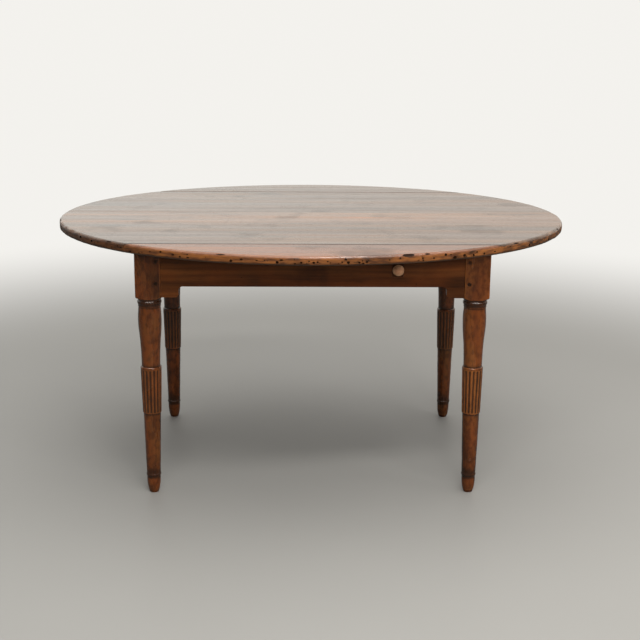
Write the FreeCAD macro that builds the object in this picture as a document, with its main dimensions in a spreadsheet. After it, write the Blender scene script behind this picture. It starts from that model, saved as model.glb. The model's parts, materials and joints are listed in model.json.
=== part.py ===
"""Oval drop-leaf table on four turned and fluted legs, as a parametric document in millimetres.

The origin is on the floor under the middle of the oval. X runs along the long side, Y away from the
front side, Z up. Front pieces lie at negative Y, left pieces at negative X.
"""
import FreeCAD, Part
import os
import types

import Sketcher

SIZES = {
    # Oval top
    "table_height": 760.0,
    "top_length": 1514.0,
    "top_width": 1196.0,
    "top_thickness": 26.0,
    "rim_upper_radius": 9.0,
    "rim_lower_radius": 7.0,
    "leaf_width": 161.0,
    "front_board_width": 290.0,
    "second_board_width": 197.0,
    "back_board_width": 147.0,
    # Seam between the fixed boards and a leaf, with worn arrises
    "seam_gap": 1.6,
    "seam_arris": 4.0,
    # Loose tongues in the joints of the fixed boards
    "tongue_length": 900.0,
    "tongue_width": 24.0,
    "tongue_thickness": 6.0,
    "tongue_clearance": 0.1,
    # Battens under the fixed boards
    "batten_inset": 116.0,
    "batten_width": 60.0,
    "batten_thickness": 20.0,
    "batten_end_gap": 4.0,
    "batten_screw_head": 4.5,
    "batten_screw_radius": 2.2,
    "batten_screw_cone": 2.5,
    "batten_screw_length": 34.0,
    # Iron leaf hinges
    "hinge_inset": 116.0,
    "hinge_width": 56.0,
    "hinge_plate_thickness": 2.0,
    "hinge_barrel_radius": 3.3,
    "hinge_barrel_clearance": 0.3,
    "hinge_barrel_gap": 0.7,
    "hinge_knuckle_gap": 0.3,
    "hinge_pin_radius": 1.6,
    "hinge_pin_clearance": 0.05,
    "hinge_pin_overhang": 0.6,
    "fixed_plate_reach": 44.0,
    "leaf_plate_reach": 52.0,
    "hinge_screw_head": 3.6,
    "hinge_screw_radius": 1.7,
    "hinge_screw_cone": 1.8,
    "hinge_screw_length": 16.0,
    "hinge_screw_side": 18.0,
    "hinge_screw_edge": 11.0,
    "screw_clearance": 0.1,
    # Leg places and blocks
    "leg_inset_x": 296.0,
    "leg_inset_y": 261.5,
    "leg_block": 72.0,
    "block_height": 137.0,
    # Leg turning below the block, from the pommel down; the long taper takes up what is left
    "pommel_height": 11.0,
    "pommel_curve": 18.0,
    "groove_height": 6.0,
    "groove_radius": 33.0,
    "bead_height": 12.0,
    "bead_radius": 32.4,
    "bead_curve": 9.3,
    "fillet_height": 7.0,
    "neck_radius": 31.1,
    "vase_height": 91.0,
    "vase_curve": 345.0,
    "vase_low_radius": 29.6,
    "waist_height": 85.3,
    "waist_curve": 1500.0,
    "waist_radius": 26.6,
    "lip_height": 5.7,
    "lip_radius": 28.2,
    "lip_curve": 6.0,
    "drum_height": 133.4,
    "drum_top_radius": 29.9,
    "drum_low_radius": 26.8,
    "taper_top_radius": 25.0,
    # Leg turning above the floor, from the foot up
    "foot_radius": 13.0,
    "foot_height": 9.0,
    "ankle_radius": 16.0,
    "ankle_height": 42.0,
    "ankle_curve": 160.0,
    "ring_neck_radius": 19.6,
    "ring_height": 9.0,
    "ring_curve": 6.8,
    "taper_low_radius": 20.3,
    # Flutes of the drum
    "flute_radius": 5.0,
    "flute_depth": 1.75,
    "flute_stop": 6.0,
    "flute_runout": 4.0,
    # Aprons and their tenons
    "apron_height": 109.5,
    "apron_thickness": 22.0,
    "apron_setback": 2.5,
    "bracket_drop": 31.5,
    "bracket_width": 49.5,
    "bracket_round": 10.0,
    "bracket_flat": 10.0,
    "tenon_shoulder": 6.5,
    "tenon_thickness": 10.0,
    "tenon_gap": 8.0,
    "tenon_low_shoulder": 19.0,
    "tenon_top_shoulder": 14.0,
    "tenon_clearance": 0.1,
    # Draw-bore pegs
    "peg_radius": 5.4,
    "peg_proud": 0.8,
    "peg_inset": 13.5,
    "peg_gap": 7.2,
    "peg_low_edge": 21.0,
    "peg_top_edge": 25.0,
    "peg_clearance": 0.1,
    # Lopers, their knobs and their guides
    "loper_inset": 224.0,
    "loper_width": 32.0,
    "loper_height": 80.0,
    "loper_reach": 250.0,
    "loper_clearance": 0.4,
    "loper_stop_place": 182.0,
    "loper_stop_radius": 5.0,
    "loper_stop_length": 60.0,
    "rail_thickness": 24.0,
    "rail_height": 84.0,
    "rail_gap": 2.0,
    "rail_housing": 8.0,
    "rail_clearance": 0.1,
    "knob_drop": 58.0,
    "knob_spigot_radius": 6.0,
    "knob_spigot_length": 20.0,
    "knob_collar_radius": 10.5,
    "knob_collar": 2.5,
    "knob_neck_radius": 7.5,
    "knob_neck": 6.0,
    "knob_radius": 16.3,
    "knob_middle": 16.0,
    "knob_under_curve": 16.0,
    "knob_length": 27.0,
    "knob_clearance": 0.1,
    # Glue blocks between aprons and top
    "block_length": 60.0,
    "block_side": 22.0,
    "end_block_inset": 150.5,
    # Length by which cutting tools pass the faces that they cut
    "cut_margin": 5.0,
}
FLUTES = 16
KNUCKLES = 5
# Share of a block's side that clears its corners when the block turns
CORNER_SWING = 0.72
X_AXIS = FreeCAD.Vector(1, 0, 0)
Y_AXIS = FreeCAD.Vector(0, 1, 0)
Z_AXIS = FreeCAD.Vector(0, 0, 1)
SIDES = {"front": -1, "back": 1}
CORNERS = {
    "front_left": (-1, -1, 0),
    "front_right": (1, -1, 90),
    "back_right": (1, 1, 180),
    "back_left": (-1, 1, 270),
}

doc = FreeCAD.newDocument("OvalDropLeafTable")
nodes = {}


class Size:
    """A length: its number now, and the expression that ties a feature to the sheet's cells."""

    def __init__(self, value, text):
        self.value = value
        self.text = text

    def __add__(self, other):
        other = as_size(other)
        return Size(self.value + other.value, f"({self.text} + {other.text})")

    def __sub__(self, other):
        other = as_size(other)
        return Size(self.value - other.value, f"({self.text} - {other.text})")

    def __mul__(self, factor):
        factor = as_size(factor)
        return Size(self.value * factor.value, f"({self.text} * {factor.text})")

    def __truediv__(self, divisor):
        divisor = as_size(divisor)
        return Size(self.value / divisor.value, f"({self.text} / {divisor.text})")

    def __neg__(self):
        return Size(-self.value, f"(0 - {self.text})")


def as_size(number):
    """Returns a plain number as a size, and a size as it is."""
    return number if isinstance(number, Size) else Size(number, str(number))


def fill_sheet():
    """Writes the driving sizes to the document's sheet and returns them by name."""
    sheet = doc.addObject("Spreadsheet::Sheet", "Sizes")
    for row, (name, value) in enumerate(SIZES.items(), 1):
        sheet.set(f"A{row}", name)
        sheet.set(f"B{row}", str(value))
        sheet.setAlias(f"B{row}", name)
    doc.recompute()
    return types.SimpleNamespace(**{name: Size(sheet.get(name), f"Sizes.{name}") for name in SIZES})


ZERO = Size(0.0, "0")
S = fill_sheet()

# Places that several pieces share
UNDERSIDE = S.table_height - S.top_thickness
HALF_BLOCK = S.leg_block / 2
LEG_X = S.top_length / 2 - S.leg_inset_x
LEG_Y = S.top_width / 2 - S.leg_inset_y
SEAM = S.top_width / 2 - S.leaf_width
APRON_INNER = HALF_BLOCK - S.apron_setback - S.apron_thickness
APRON_INNER_X = LEG_X + APRON_INNER
APRON_INNER_Y = LEG_Y + APRON_INNER
APRON_OUTER_Y = APRON_INNER_Y + S.apron_thickness
APRON_BOTTOM = UNDERSIDE - S.apron_height
BRACKET_BOTTOM = APRON_BOTTOM - S.bracket_drop
HINGE_AXIS = UNDERSIDE - S.hinge_barrel_radius - S.hinge_barrel_clearance
LOPER_X = LEG_X - S.loper_inset
LOPER_TOP = UNDERSIDE - S.loper_clearance
LOPER_BOTTOM = LOPER_TOP - S.loper_height
BATTEN_BOTTOM = UNDERSIDE - S.batten_thickness
BATTEN_END = APRON_INNER_Y - S.batten_end_gap
RAIL_TOP = BATTEN_BOTTOM - S.rail_gap
RAIL_BOTTOM = RAIL_TOP - S.rail_height
KNOB_HEIGHT = UNDERSIDE - S.knob_drop
TENON_NEAR = HALF_BLOCK - S.apron_setback - S.tenon_shoulder - S.tenon_thickness
TENON_TIP = S.tenon_gap - TENON_NEAR
TENON_BOTTOM = BRACKET_BOTTOM + S.tenon_low_shoulder
TENON_TOP = UNDERSIDE - S.tenon_top_shoulder
PEG_OFFSET = HALF_BLOCK - S.peg_inset
PEG_HEIGHTS = (TENON_BOTTOM + S.peg_low_edge, TENON_TOP - S.peg_top_edge)
FRONT_JOINT = S.front_board_width - SEAM
BOARD_EDGES = (-SEAM, FRONT_JOINT, FRONT_JOINT + S.second_board_width, SEAM - S.back_board_width, SEAM)
BOARD_NAMES = ("top_board_front", "top_board_centre_front", "top_board_centre_back", "top_board_back")


# Helpers that make document objects tied to the sheet

def bind(item, **sizes):
    """Ties properties of an object to sizes."""
    for name, size in sizes.items():
        item.setExpression(name, as_size(size).text)


def place(item, x=ZERO, y=ZERO, z=ZERO, turn=None):
    """Puts an object at a point that follows the sheet, turned by an axis and degrees."""
    if turn:
        item.Placement = FreeCAD.Placement(FreeCAD.Vector(), FreeCAD.Rotation(*turn))
    for letter, size in zip("xyz", (x, y, z)):
        item.setExpression(f"Placement.Base.{letter}", as_size(size).text)
    return item


def between(first, second):
    """Returns two sizes with the lower one first."""
    return (first, second) if first.value < second.value else (second, first)


def about(middle, width):
    """Returns the two ends of a width centred on a place."""
    return middle - width / 2, middle + width / 2


def box(x, y, z):
    """Makes a block from its low and high ends along each axis."""
    item = doc.addObject("Part::Box", "block")
    bind(item, Length=x[1] - x[0], Width=y[1] - y[0], Height=z[1] - z[0])
    return place(item, x[0], y[0], z[0])


TURNS = {"X": (Y_AXIS, 90), "Y": (X_AXIS, -90), "Z": None}


def rod(axis, radius, length, x, y, z):
    """Makes a cylinder that runs along an axis from its low end."""
    item = doc.addObject("Part::Cylinder", "rod")
    bind(item, Radius=radius, Height=length)
    return place(item, x, y, z, TURNS[axis])


def fuse(items):
    """Joins overlapping solids into one."""
    item = doc.addObject("Part::MultiFuse", "joined")
    item.Shapes = items
    return item


def group(items):
    """Keeps separate solids together in one object."""
    item = doc.addObject("Part::Compound", "set")
    item.Links = items
    return item


def cut(base, tools):
    """Takes tools away from a base."""
    item = doc.addObject("Part::Cut", "cut")
    item.Base = base
    item.Tool = tools[0] if len(tools) == 1 else group(tools)
    return item


def common(base, tool):
    """Keeps what two solids share."""
    item = doc.addObject("Part::Common", "shared")
    item.Base = base
    item.Tool = tool
    return item


def finish(item, name):
    """Names a finished sub-part."""
    item.Label = name
    nodes[name] = item
    return item


def sketch_on(body, role):
    """Starts a sketch on one of the body's own origin planes."""
    plane = next(feature for feature in body.Origin.OriginFeatures if feature.Role == role)
    sketch = body.newObject("Sketcher::SketchObject", "outline")
    sketch.AttachmentSupport = [(plane, "")]
    sketch.MapMode = "FlatFace"
    return sketch


def hold(sketch, kind, size, *places):
    """Adds a dimension that follows the sheet."""
    index = sketch.addConstraint(Sketcher.Constraint(kind, *places, size.value))
    name = f"{kind}{index}"
    sketch.renameConstraint(index, name)
    sketch.setExpression(f"Constraints.{name}", size.text)


def round_edge(start, end, radius, side):
    """Returns an arc of a radius that bulges to the left (1) or right (-1) of the way from start to end."""
    chord = end - start
    half = chord.Length / 2
    rise = radius - (radius * radius - half * half) ** 0.5
    normal = FreeCAD.Vector(-chord.y, chord.x, 0).normalize()
    return Part.Arc(start, (start + end) / 2 + normal * (rise * side), end)


def outline(sketch, corners):
    """Draws a closed outline and ties its corners and radii to the sheet.

    A corner is (across, up), or (across, up, radius, side) where a round edge arrives at it.
    """
    points = [FreeCAD.Vector(corner[0].value, corner[1].value, 0) for corner in corners]
    ends = []
    for index, corner in enumerate(corners):
        start, end = points[index - 1], points[index]
        edge = Part.LineSegment(start, end)
        if len(corner) > 2:
            edge = round_edge(start, end, corner[2].value, corner[3])
        number = sketch.addGeometry(edge)
        forward = (sketch.getPoint(number, 1) - start).Length < (sketch.getPoint(number, 2) - start).Length
        ends.append((number, 1, 2) if forward else (number, 2, 1))
    for index, corner in enumerate(corners):
        number, _, last = ends[index]
        following, first, _ = ends[(index + 1) % len(ends)]
        sketch.addConstraint(Sketcher.Constraint("Coincident", number, last, following, first))
        hold(sketch, "DistanceX", corner[0], -1, 1, number, last)
        hold(sketch, "DistanceY", corner[1], -1, 1, number, last)
        if len(corner) > 2:
            hold(sketch, "Radius", corner[2], number)


def pad(body, sketch, length):
    """Thickens a sketch."""
    feature = body.newObject("PartDesign::Pad", "pad")
    feature.Profile = sketch
    bind(feature, Length=length)
    return feature


def turned_body(name, corners):
    """Turns an outline of radii and heights about the body's own upright axis."""
    body = doc.addObject("PartDesign::Body", name)
    sketch = sketch_on(body, "XZ_Plane")
    outline(sketch, corners)
    turning = body.newObject("PartDesign::Revolution", "turning")
    turning.Profile = sketch
    turning.ReferenceAxis = (sketch, ["V_Axis"])
    turning.Angle = 360
    return body


class ScrewKind:
    """The sizes of one kind of countersunk wood screw, driven upwards."""

    def __init__(self, head, radius, cone, length):
        self.head = head
        self.radius = radius
        self.cone = cone
        self.length = length

    def solid(self, x, y, seat, spare=ZERO):
        """Makes the screw, or with some spare the hole that it sits in."""
        head = doc.addObject("Part::Cone", "head")
        bind(head, Radius1=self.head + spare, Radius2=self.radius + spare, Height=self.cone)
        place(head, x, y, seat)
        shank = rod("Z", self.radius + spare, self.length - self.cone + spare, x, y, seat + self.cone)
        return fuse([head, shank])

    def hole(self, x, y, seat):
        """Makes the hole that the screw sits in."""
        return self.solid(x, y, seat, S.screw_clearance)


# Oval top: fixed boards, leaves, tongues and battens

def oval_blank():
    """Makes the whole oval slab with its rounded rim, before it is cut into boards and leaves."""
    body = doc.addObject("PartDesign::Body", "oval_blank")
    sketch = sketch_on(body, "XY_Plane")
    ellipse = Part.Ellipse(FreeCAD.Vector(), S.top_length.value / 2, S.top_width.value / 2)
    sketch.addGeometry(ellipse)
    sketch.exposeInternalGeometry(0)
    sketch.addConstraint(Sketcher.Constraint("Coincident", 0, 3, -1, 1))
    sketch.addConstraint(Sketcher.Constraint("PointOnObject", 1, 1, -1))
    hold(sketch, "Distance", S.top_length, 1)
    hold(sketch, "Distance", S.top_width, 2)
    slab = pad(body, sketch, S.top_thickness)
    base = slab
    for radius, is_upper in ((S.rim_upper_radius, True), (S.rim_lower_radius, False)):
        doc.recompute()
        box_z = base.Shape.BoundBox
        level = box_z.ZMax if is_upper else box_z.ZMin
        rims = [
            f"Edge{number}"
            for number, edge in enumerate(base.Shape.Edges, 1)
            if abs(edge.BoundBox.ZMin - level) < 1e-3 and abs(edge.BoundBox.ZMax - level) < 1e-3
        ]
        rounding = body.newObject("PartDesign::Fillet", "rim")
        rounding.Base = (base, rims)
        bind(rounding, Radius=radius)
        base = rounding
    return place(body, z=UNDERSIDE)


def slice_of(blank, y):
    """Keeps the strip of the oval slab between two places."""
    reach = S.top_length / 2 + S.cut_margin
    height = (UNDERSIDE - S.cut_margin, S.table_height + S.cut_margin)
    return common(blank, box((-reach, reach), y, height))


def seam_tool(side):
    """Makes the tool that opens a leaf seam: a narrow gap that flares at the worn upper arrises."""
    body = doc.addObject("PartDesign::Body", "seam")
    half = S.seam_gap / 2
    flare = half + S.seam_arris
    shoulder = S.top_thickness - S.seam_arris
    above = S.top_thickness + S.cut_margin
    sketch = sketch_on(body, "YZ_Plane")
    outline(sketch, [
        (-half, -S.cut_margin),
        (half, -S.cut_margin),
        (half, shoulder),
        (flare, S.top_thickness, S.seam_arris, 1),
        (flare, above),
        (-flare, above),
        (-flare, S.top_thickness),
        (-half, shoulder, S.seam_arris, 1),
    ])
    pad(body, sketch, S.top_length + S.cut_margin * 2)
    return place(body, -S.top_length / 2 - S.cut_margin, SEAM * side, UNDERSIDE)


def tongue(joint, spare=ZERO):
    """Makes a loose tongue across a board joint, or with some spare its groove."""
    middle = UNDERSIDE + S.top_thickness / 2
    return box(
        about(ZERO, S.tongue_length + spare * 2),
        about(joint, S.tongue_width + spare * 2),
        about(middle, S.tongue_thickness + spare * 2),
    )


def make_top(hinge_holes, batten_holes):
    """Makes the four fixed boards, the loose tongues in their joints and the two leaves."""
    blank = oval_blank()
    seams = {side: seam_tool(side) for side in SIDES.values()}
    joints = BOARD_EDGES[1:-1]
    grooves = [tongue(joint, S.tongue_clearance) for joint in joints]
    last = len(BOARD_NAMES) - 1
    for index, name in enumerate(BOARD_NAMES):
        tools = grooves[max(index - 1, 0):index + 1] + batten_holes[index]
        if index == 0:
            tools = tools + [seams[-1]] + hinge_holes["front_fixed"]
        if index == last:
            tools = tools + [seams[1]] + hinge_holes["back_fixed"]
        strip = slice_of(blank, (BOARD_EDGES[index], BOARD_EDGES[index + 1]))
        finish(cut(strip, tools), name)
    finish(group([tongue(joint) for joint in joints]), "top_board_tongues")
    for side_name, side in SIDES.items():
        outer = (S.top_width / 2 + S.cut_margin) * side
        strip = slice_of(blank, between(SEAM * side, outer))
        finish(cut(strip, [seams[side]] + hinge_holes[f"{side_name}_leaf"]), f"{side_name}_leaf")


def make_battens():
    """Makes the two battens and their screws, and returns the screw holes of each fixed board."""
    kind = ScrewKind(S.batten_screw_head, S.batten_screw_radius, S.batten_screw_cone, S.batten_screw_length)
    screws = []
    board_holes = [[] for _ in BOARD_NAMES]
    for name, side in (("left_batten", -1), ("right_batten", 1)):
        middle = (LEG_X - S.batten_inset) * side
        strip = box(about(middle, S.batten_width), (-BATTEN_END, BATTEN_END), (BATTEN_BOTTOM, UNDERSIDE))
        holes = []
        for index in range(len(BOARD_NAMES)):
            low = BOARD_EDGES[index] if index else -BATTEN_END
            high = BOARD_EDGES[index + 1] if index < len(BOARD_NAMES) - 1 else BATTEN_END
            y = (low + high) / 2
            screws.append(kind.solid(middle, y, BATTEN_BOTTOM))
            holes.append(kind.hole(middle, y, BATTEN_BOTTOM))
            board_holes[index].append(holes[-1])
        finish(cut(strip, holes), name)
    finish(group(screws), "batten_screws")
    return board_holes


# Iron hinges

def hinge_plate(middle, side, reach, direction, knuckles, holes):
    """Makes one plate of a hinge with its knuckles about the pin.

    direction is 1 for the leaf plate, which runs outwards from the seam, and -1 for the fixed plate.
    """
    axis_y = SEAM * side
    way = side * direction
    start = S.hinge_barrel_radius + S.hinge_barrel_gap
    level = (UNDERSIDE - S.hinge_plate_thickness, UNDERSIDE)
    solids = [box(about(middle, S.hinge_width), between(axis_y + start * way, axis_y + reach * way), level)]
    pitch = S.hinge_width / KNUCKLES
    for index in knuckles:
        x = middle - S.hinge_width / 2 + pitch * index + S.hinge_knuckle_gap / 2
        length = pitch - S.hinge_knuckle_gap
        ear_y = between(axis_y, axis_y + (start + S.hinge_plate_thickness) * way)
        ear_z = (UNDERSIDE - S.hinge_plate_thickness, HINGE_AXIS + S.hinge_barrel_radius)
        solids.append(rod("X", S.hinge_barrel_radius, length, x, axis_y, HINGE_AXIS))
        solids.append(box((x, x + length), ear_y, ear_z))
    bore = rod(
        "X",
        S.hinge_pin_radius + S.hinge_pin_clearance,
        S.hinge_width + S.cut_margin * 2,
        middle - S.hinge_width / 2 - S.cut_margin,
        axis_y,
        HINGE_AXIS,
    )
    return cut(fuse(solids), [bore] + holes)


def make_hinges():
    """Makes three hinges for each leaf and returns the screw holes by the piece that they go into."""
    kind = ScrewKind(S.hinge_screw_head, S.hinge_screw_radius, S.hinge_screw_cone, S.hinge_screw_length)
    seat = UNDERSIDE - S.hinge_plate_thickness
    outer = LEG_X - S.hinge_inset
    places = {"left": -outer, "middle": ZERO, "right": outer}
    holes = {}
    for side_name, side in SIDES.items():
        for part, reach, direction, knuckles in (
            ("fixed", S.fixed_plate_reach, -1, range(0, KNUCKLES, 2)),
            ("leaf", S.leaf_plate_reach, 1, range(1, KNUCKLES, 2)),
        ):
            screws = []
            part_holes = []
            for place_name, middle in places.items():
                far = (SEAM + (reach - S.hinge_screw_edge) * direction) * side
                near = (SEAM + reach / 2 * direction) * side
                spots = (
                    (middle - S.hinge_screw_side, far),
                    (middle, near),
                    (middle + S.hinge_screw_side, far),
                )
                plate_holes = [kind.hole(x, y, seat) for x, y in spots]
                screws.extend(kind.solid(x, y, seat) for x, y in spots)
                part_holes.extend(plate_holes)
                plate = hinge_plate(middle, side, reach, direction, knuckles, plate_holes)
                finish(plate, f"{side_name}_{place_name}_hinge_{part}_plate")
            finish(group(screws), f"{side_name}_hinge_{part}_screws")
            holes[f"{side_name}_{part}"] = part_holes
        for place_name, middle in places.items():
            length = S.hinge_width + S.hinge_pin_overhang * 2
            pin = rod("X", S.hinge_pin_radius, length, middle - length / 2, SEAM * side, HINGE_AXIS)
            finish(pin, f"{side_name}_{place_name}_hinge_pin")
    return holes


# Legs and pegs, each made about its own upright axis with the table's middle towards +X and +Y

def leg_turning():
    """Turns one leg, flutes its drum and leaves its upper end square."""
    swing = S.leg_block * CORNER_SWING
    pommel = UNDERSIDE - S.block_height
    groove = pommel - S.pommel_height
    bead_top = groove - S.groove_height
    bead_bottom = bead_top - S.bead_height
    neck = bead_bottom - S.fillet_height
    vase = neck - S.vase_height
    drum_top = vase - S.waist_height
    shoulder = drum_top - S.lip_height
    drum_bottom = shoulder - S.drum_height
    ring_bottom = S.foot_height + S.ankle_height
    body = turned_body("leg_turning", [
        (ZERO, ZERO),
        (S.foot_radius, ZERO),
        (S.ankle_radius, S.foot_height),
        (S.ring_neck_radius, ring_bottom, S.ankle_curve, -1),
        (S.taper_low_radius, ring_bottom + S.ring_height, S.ring_curve, -1),
        (S.taper_top_radius, drum_bottom),
        (S.drum_low_radius, drum_bottom),
        (S.drum_top_radius, shoulder),
        (S.lip_radius, drum_top, S.lip_curve, -1),
        (S.waist_radius, drum_top),
        (S.vase_low_radius, vase, S.waist_curve, 1),
        (S.neck_radius, neck, S.vase_curve, -1),
        (S.bead_radius, neck),
        (S.bead_radius, bead_bottom),
        (S.bead_radius, bead_top, S.bead_curve, -1),
        (S.groove_radius, groove),
        (swing, pommel, S.pommel_curve, -1),
        (swing, UNDERSIDE),
        (ZERO, UNDERSIDE),
    ])
    flute_drum(body, drum_bottom, shoulder)
    square = about(ZERO, S.leg_block)
    stock = fuse([rod("Z", swing, groove, ZERO, ZERO, ZERO), box(square, square, (groove, UNDERSIDE))])
    return common(body, stock)


def flute_drum(body, drum_bottom, shoulder):
    """Cuts one round-ended flute down the drum and repeats it round the leg."""
    reach = S.flute_radius - S.flute_depth
    low = drum_bottom - S.flute_runout
    low_axis = S.drum_low_radius + reach
    high_axis = S.drum_top_radius + reach
    stop = shoulder - S.flute_stop
    end = stop + S.flute_radius
    sketch = sketch_on(body, "XZ_Plane")
    outline(sketch, [
        (low_axis, low),
        (high_axis, end),
        (high_axis - S.flute_radius, stop, S.flute_radius, 1),
        (low_axis - S.flute_radius, low),
    ])
    axis_start = FreeCAD.Vector(low_axis.value, low.value, 0)
    axis_end = FreeCAD.Vector(high_axis.value, end.value, 0)
    axis = sketch.addGeometry(Part.LineSegment(axis_start, axis_end), True)
    for point, (across, up) in ((1, (low_axis, low)), (2, (high_axis, end))):
        hold(sketch, "DistanceX", across, -1, 1, axis, point)
        hold(sketch, "DistanceY", up, -1, 1, axis, point)
    doc.recompute()
    whole = body.Shape.Volume
    flute = body.newObject("PartDesign::Groove", "flute")
    flute.Profile = sketch
    flute.ReferenceAxis = (sketch, ["Axis0"])
    flute.Angle = 360
    flutes = body.newObject("PartDesign::PolarPattern", "flutes")
    upright = next(feature for feature in body.Origin.OriginFeatures if feature.Role == "Z_Axis")
    flutes.Originals = [flute]
    flutes.Axis = (upright, [""])
    flutes.Angle = 360
    flutes.Occurrences = FLUTES
    body.Tip = flutes
    doc.recompute()
    if body.Shape.Volume >= whole:
        raise RuntimeError("the flutes cut nothing")


def leg_mortises():
    """Makes the two mortises of a leg, each a little larger than its tenon."""
    spare = S.tenon_clearance
    along = (TENON_TIP - spare, HALF_BLOCK + S.cut_margin)
    across = (-TENON_NEAR - S.tenon_thickness - spare, -TENON_NEAR + spare)
    up = (TENON_BOTTOM - spare, TENON_TOP + spare)
    return [box(along, across, up), box(across, along, up)]


def leg_pegs(spare=ZERO):
    """Makes the four pegs of a leg, or with some spare their holes."""
    start = -HALF_BLOCK - S.peg_proud
    radius = S.peg_radius + spare
    length = PEG_OFFSET - S.peg_radius - S.peg_gap - start + spare
    pegs = []
    for height in PEG_HEIGHTS:
        pegs.append(rod("Y", radius, length, PEG_OFFSET, start, height))
        pegs.append(rod("X", radius, length, start, PEG_OFFSET, height))
    return pegs


def make_legs():
    """Makes the four legs and their pegs: one shape, turned a quarter for each corner."""
    turning = leg_turning()
    mortises = leg_mortises()
    holes = leg_pegs(S.peg_clearance)
    pegs = leg_pegs()
    for name, (side_x, side_y, degrees) in CORNERS.items():
        for item, suffix in ((cut(turning, mortises + holes), "leg"), (group(pegs), "pegs")):
            place(item, LEG_X * side_x, LEG_Y * side_y, turn=(Z_AXIS, degrees))
            finish(item, f"{name}_{suffix}")


# Aprons, each made with its inner face on Y = 0 and its outer face towards -Y

def apron(half_length, notches):
    """Makes an apron with its bracketed lower edge, its two tenons and their peg holes."""
    body = doc.addObject("PartDesign::Body", "apron_board")
    sketch = sketch_on(body, "XZ_Plane")
    side = half_length - S.bracket_width
    flat = side + S.bracket_round
    cove_radius = S.bracket_drop - S.bracket_round - S.bracket_flat
    cove = side - cove_radius
    low = BRACKET_BOTTOM
    round_top = low + S.bracket_round
    cove_bottom = round_top + S.bracket_flat
    outline(sketch, [
        (-half_length, UNDERSIDE),
        (-half_length, low),
        (-flat, low),
        (-side, round_top, S.bracket_round, -1),
        (-side, cove_bottom),
        (-cove, APRON_BOTTOM, cove_radius, 1),
        (cove, APRON_BOTTOM),
        (side, cove_bottom, cove_radius, 1),
        (side, round_top),
        (flat, low, S.bracket_round, -1),
        (half_length, low),
        (half_length, UNDERSIDE),
    ])
    pad(body, sketch, S.apron_thickness)
    near = TENON_NEAR - APRON_INNER
    tenon_y = (-near - S.tenon_thickness, -near)
    tenon_z = (TENON_BOTTOM, TENON_TOP)
    tenon_end = half_length + HALF_BLOCK - TENON_TIP
    tenons = [
        box((half_length - S.cut_margin, tenon_end), tenon_y, tenon_z),
        box((-tenon_end, S.cut_margin - half_length), tenon_y, tenon_z),
    ]
    holes = []
    for height in PEG_HEIGHTS:
        for end in (-1, 1):
            x = (half_length + HALF_BLOCK - PEG_OFFSET) * end
            start = -S.apron_thickness - S.cut_margin
            length = S.apron_thickness + S.cut_margin * 2
            holes.append(rod("Y", S.peg_radius + S.peg_clearance, length, x, start, height))
    return cut(fuse([body] + tenons), holes + notches)


def make_aprons():
    """Makes the long aprons, notched for the lopers, and the end aprons, housed for the cross rail."""
    notch = box(
        about(LOPER_X, S.loper_width + S.loper_clearance * 2),
        (-S.apron_thickness - S.cut_margin, S.cut_margin),
        (LOPER_BOTTOM, UNDERSIDE + S.cut_margin),
    )
    housing = box(
        about(ZERO, S.rail_thickness + S.rail_clearance * 2),
        (-S.rail_housing - S.rail_clearance, S.cut_margin),
        (RAIL_BOTTOM, RAIL_TOP + S.rail_clearance),
    )
    for name, side, degrees in (("front_apron", -1, 0), ("back_apron", 1, 180)):
        long_apron = apron(LEG_X - HALF_BLOCK, [notch])
        finish(place(long_apron, y=APRON_INNER_Y * side, turn=(Z_AXIS, degrees)), name)
    for name, side, degrees in (("left_apron", -1, -90), ("right_apron", 1, 90)):
        end_apron = apron(LEG_Y - HALF_BLOCK, [housing])
        finish(place(end_apron, x=APRON_INNER_X * side, turn=(Z_AXIS, degrees)), name)


# Lopers that carry the raised leaves, with their guide rail, knobs and stops

def knob_outline():
    """Returns the outline of a knob: a spigot in the loper, a collar, a neck and a domed head."""
    rise = S.knob_length - S.knob_middle
    dome = (S.knob_radius * S.knob_radius + rise * rise) / (rise * 2)
    return [
        (ZERO, -S.knob_spigot_length),
        (S.knob_spigot_radius, -S.knob_spigot_length),
        (S.knob_spigot_radius, ZERO),
        (S.knob_collar_radius, ZERO),
        (S.knob_collar_radius, S.knob_collar),
        (S.knob_neck_radius, S.knob_neck),
        (S.knob_radius, S.knob_middle, S.knob_under_curve, -1),
        (ZERO, S.knob_length, dome, -1),
    ]


def make_lopers():
    """Makes the cross rail and, for each leaf, a loper with its knob and stop peg."""
    rail_end = APRON_INNER_X + S.rail_housing
    rail = box((-rail_end, rail_end), about(ZERO, S.rail_thickness), (RAIL_BOTTOM, RAIL_TOP))
    notches = []
    for name, side in SIDES.items():
        x = LOPER_X * -side
        face = APRON_OUTER_Y * side
        notches.append(box(
            about(x, S.loper_width + S.loper_clearance * 2),
            about(ZERO, S.rail_thickness + S.cut_margin * 2),
            (LOPER_BOTTOM, RAIL_TOP + S.cut_margin),
        ))
        bar = box(about(x, S.loper_width), between(face, S.loper_reach * -side), (LOPER_BOTTOM, LOPER_TOP))
        depth = S.knob_spigot_length + S.knob_clearance
        socket_start = between(face, face - depth * side)[0]
        socket = rod("Y", S.knob_spigot_radius + S.knob_clearance, depth, x, socket_start, KNOB_HEIGHT)
        stop_place = (
            x - S.loper_stop_length / 2,
            S.loper_stop_place * -side,
            LOPER_BOTTOM + S.loper_height / 2,
        )
        stop_hole = rod("X", S.loper_stop_radius + S.peg_clearance, S.loper_stop_length, *stop_place)
        finish(cut(bar, [socket, stop_hole]), f"{name}_loper")
        finish(rod("X", S.loper_stop_radius, S.loper_stop_length, *stop_place), f"{name}_loper_stop")
        knob = turned_body("knob", knob_outline())
        finish(place(knob, x, face, KNOB_HEIGHT, (X_AXIS, -90 * side)), f"{name}_loper_knob")
    finish(cut(rail, notches), "loper_rail")


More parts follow.
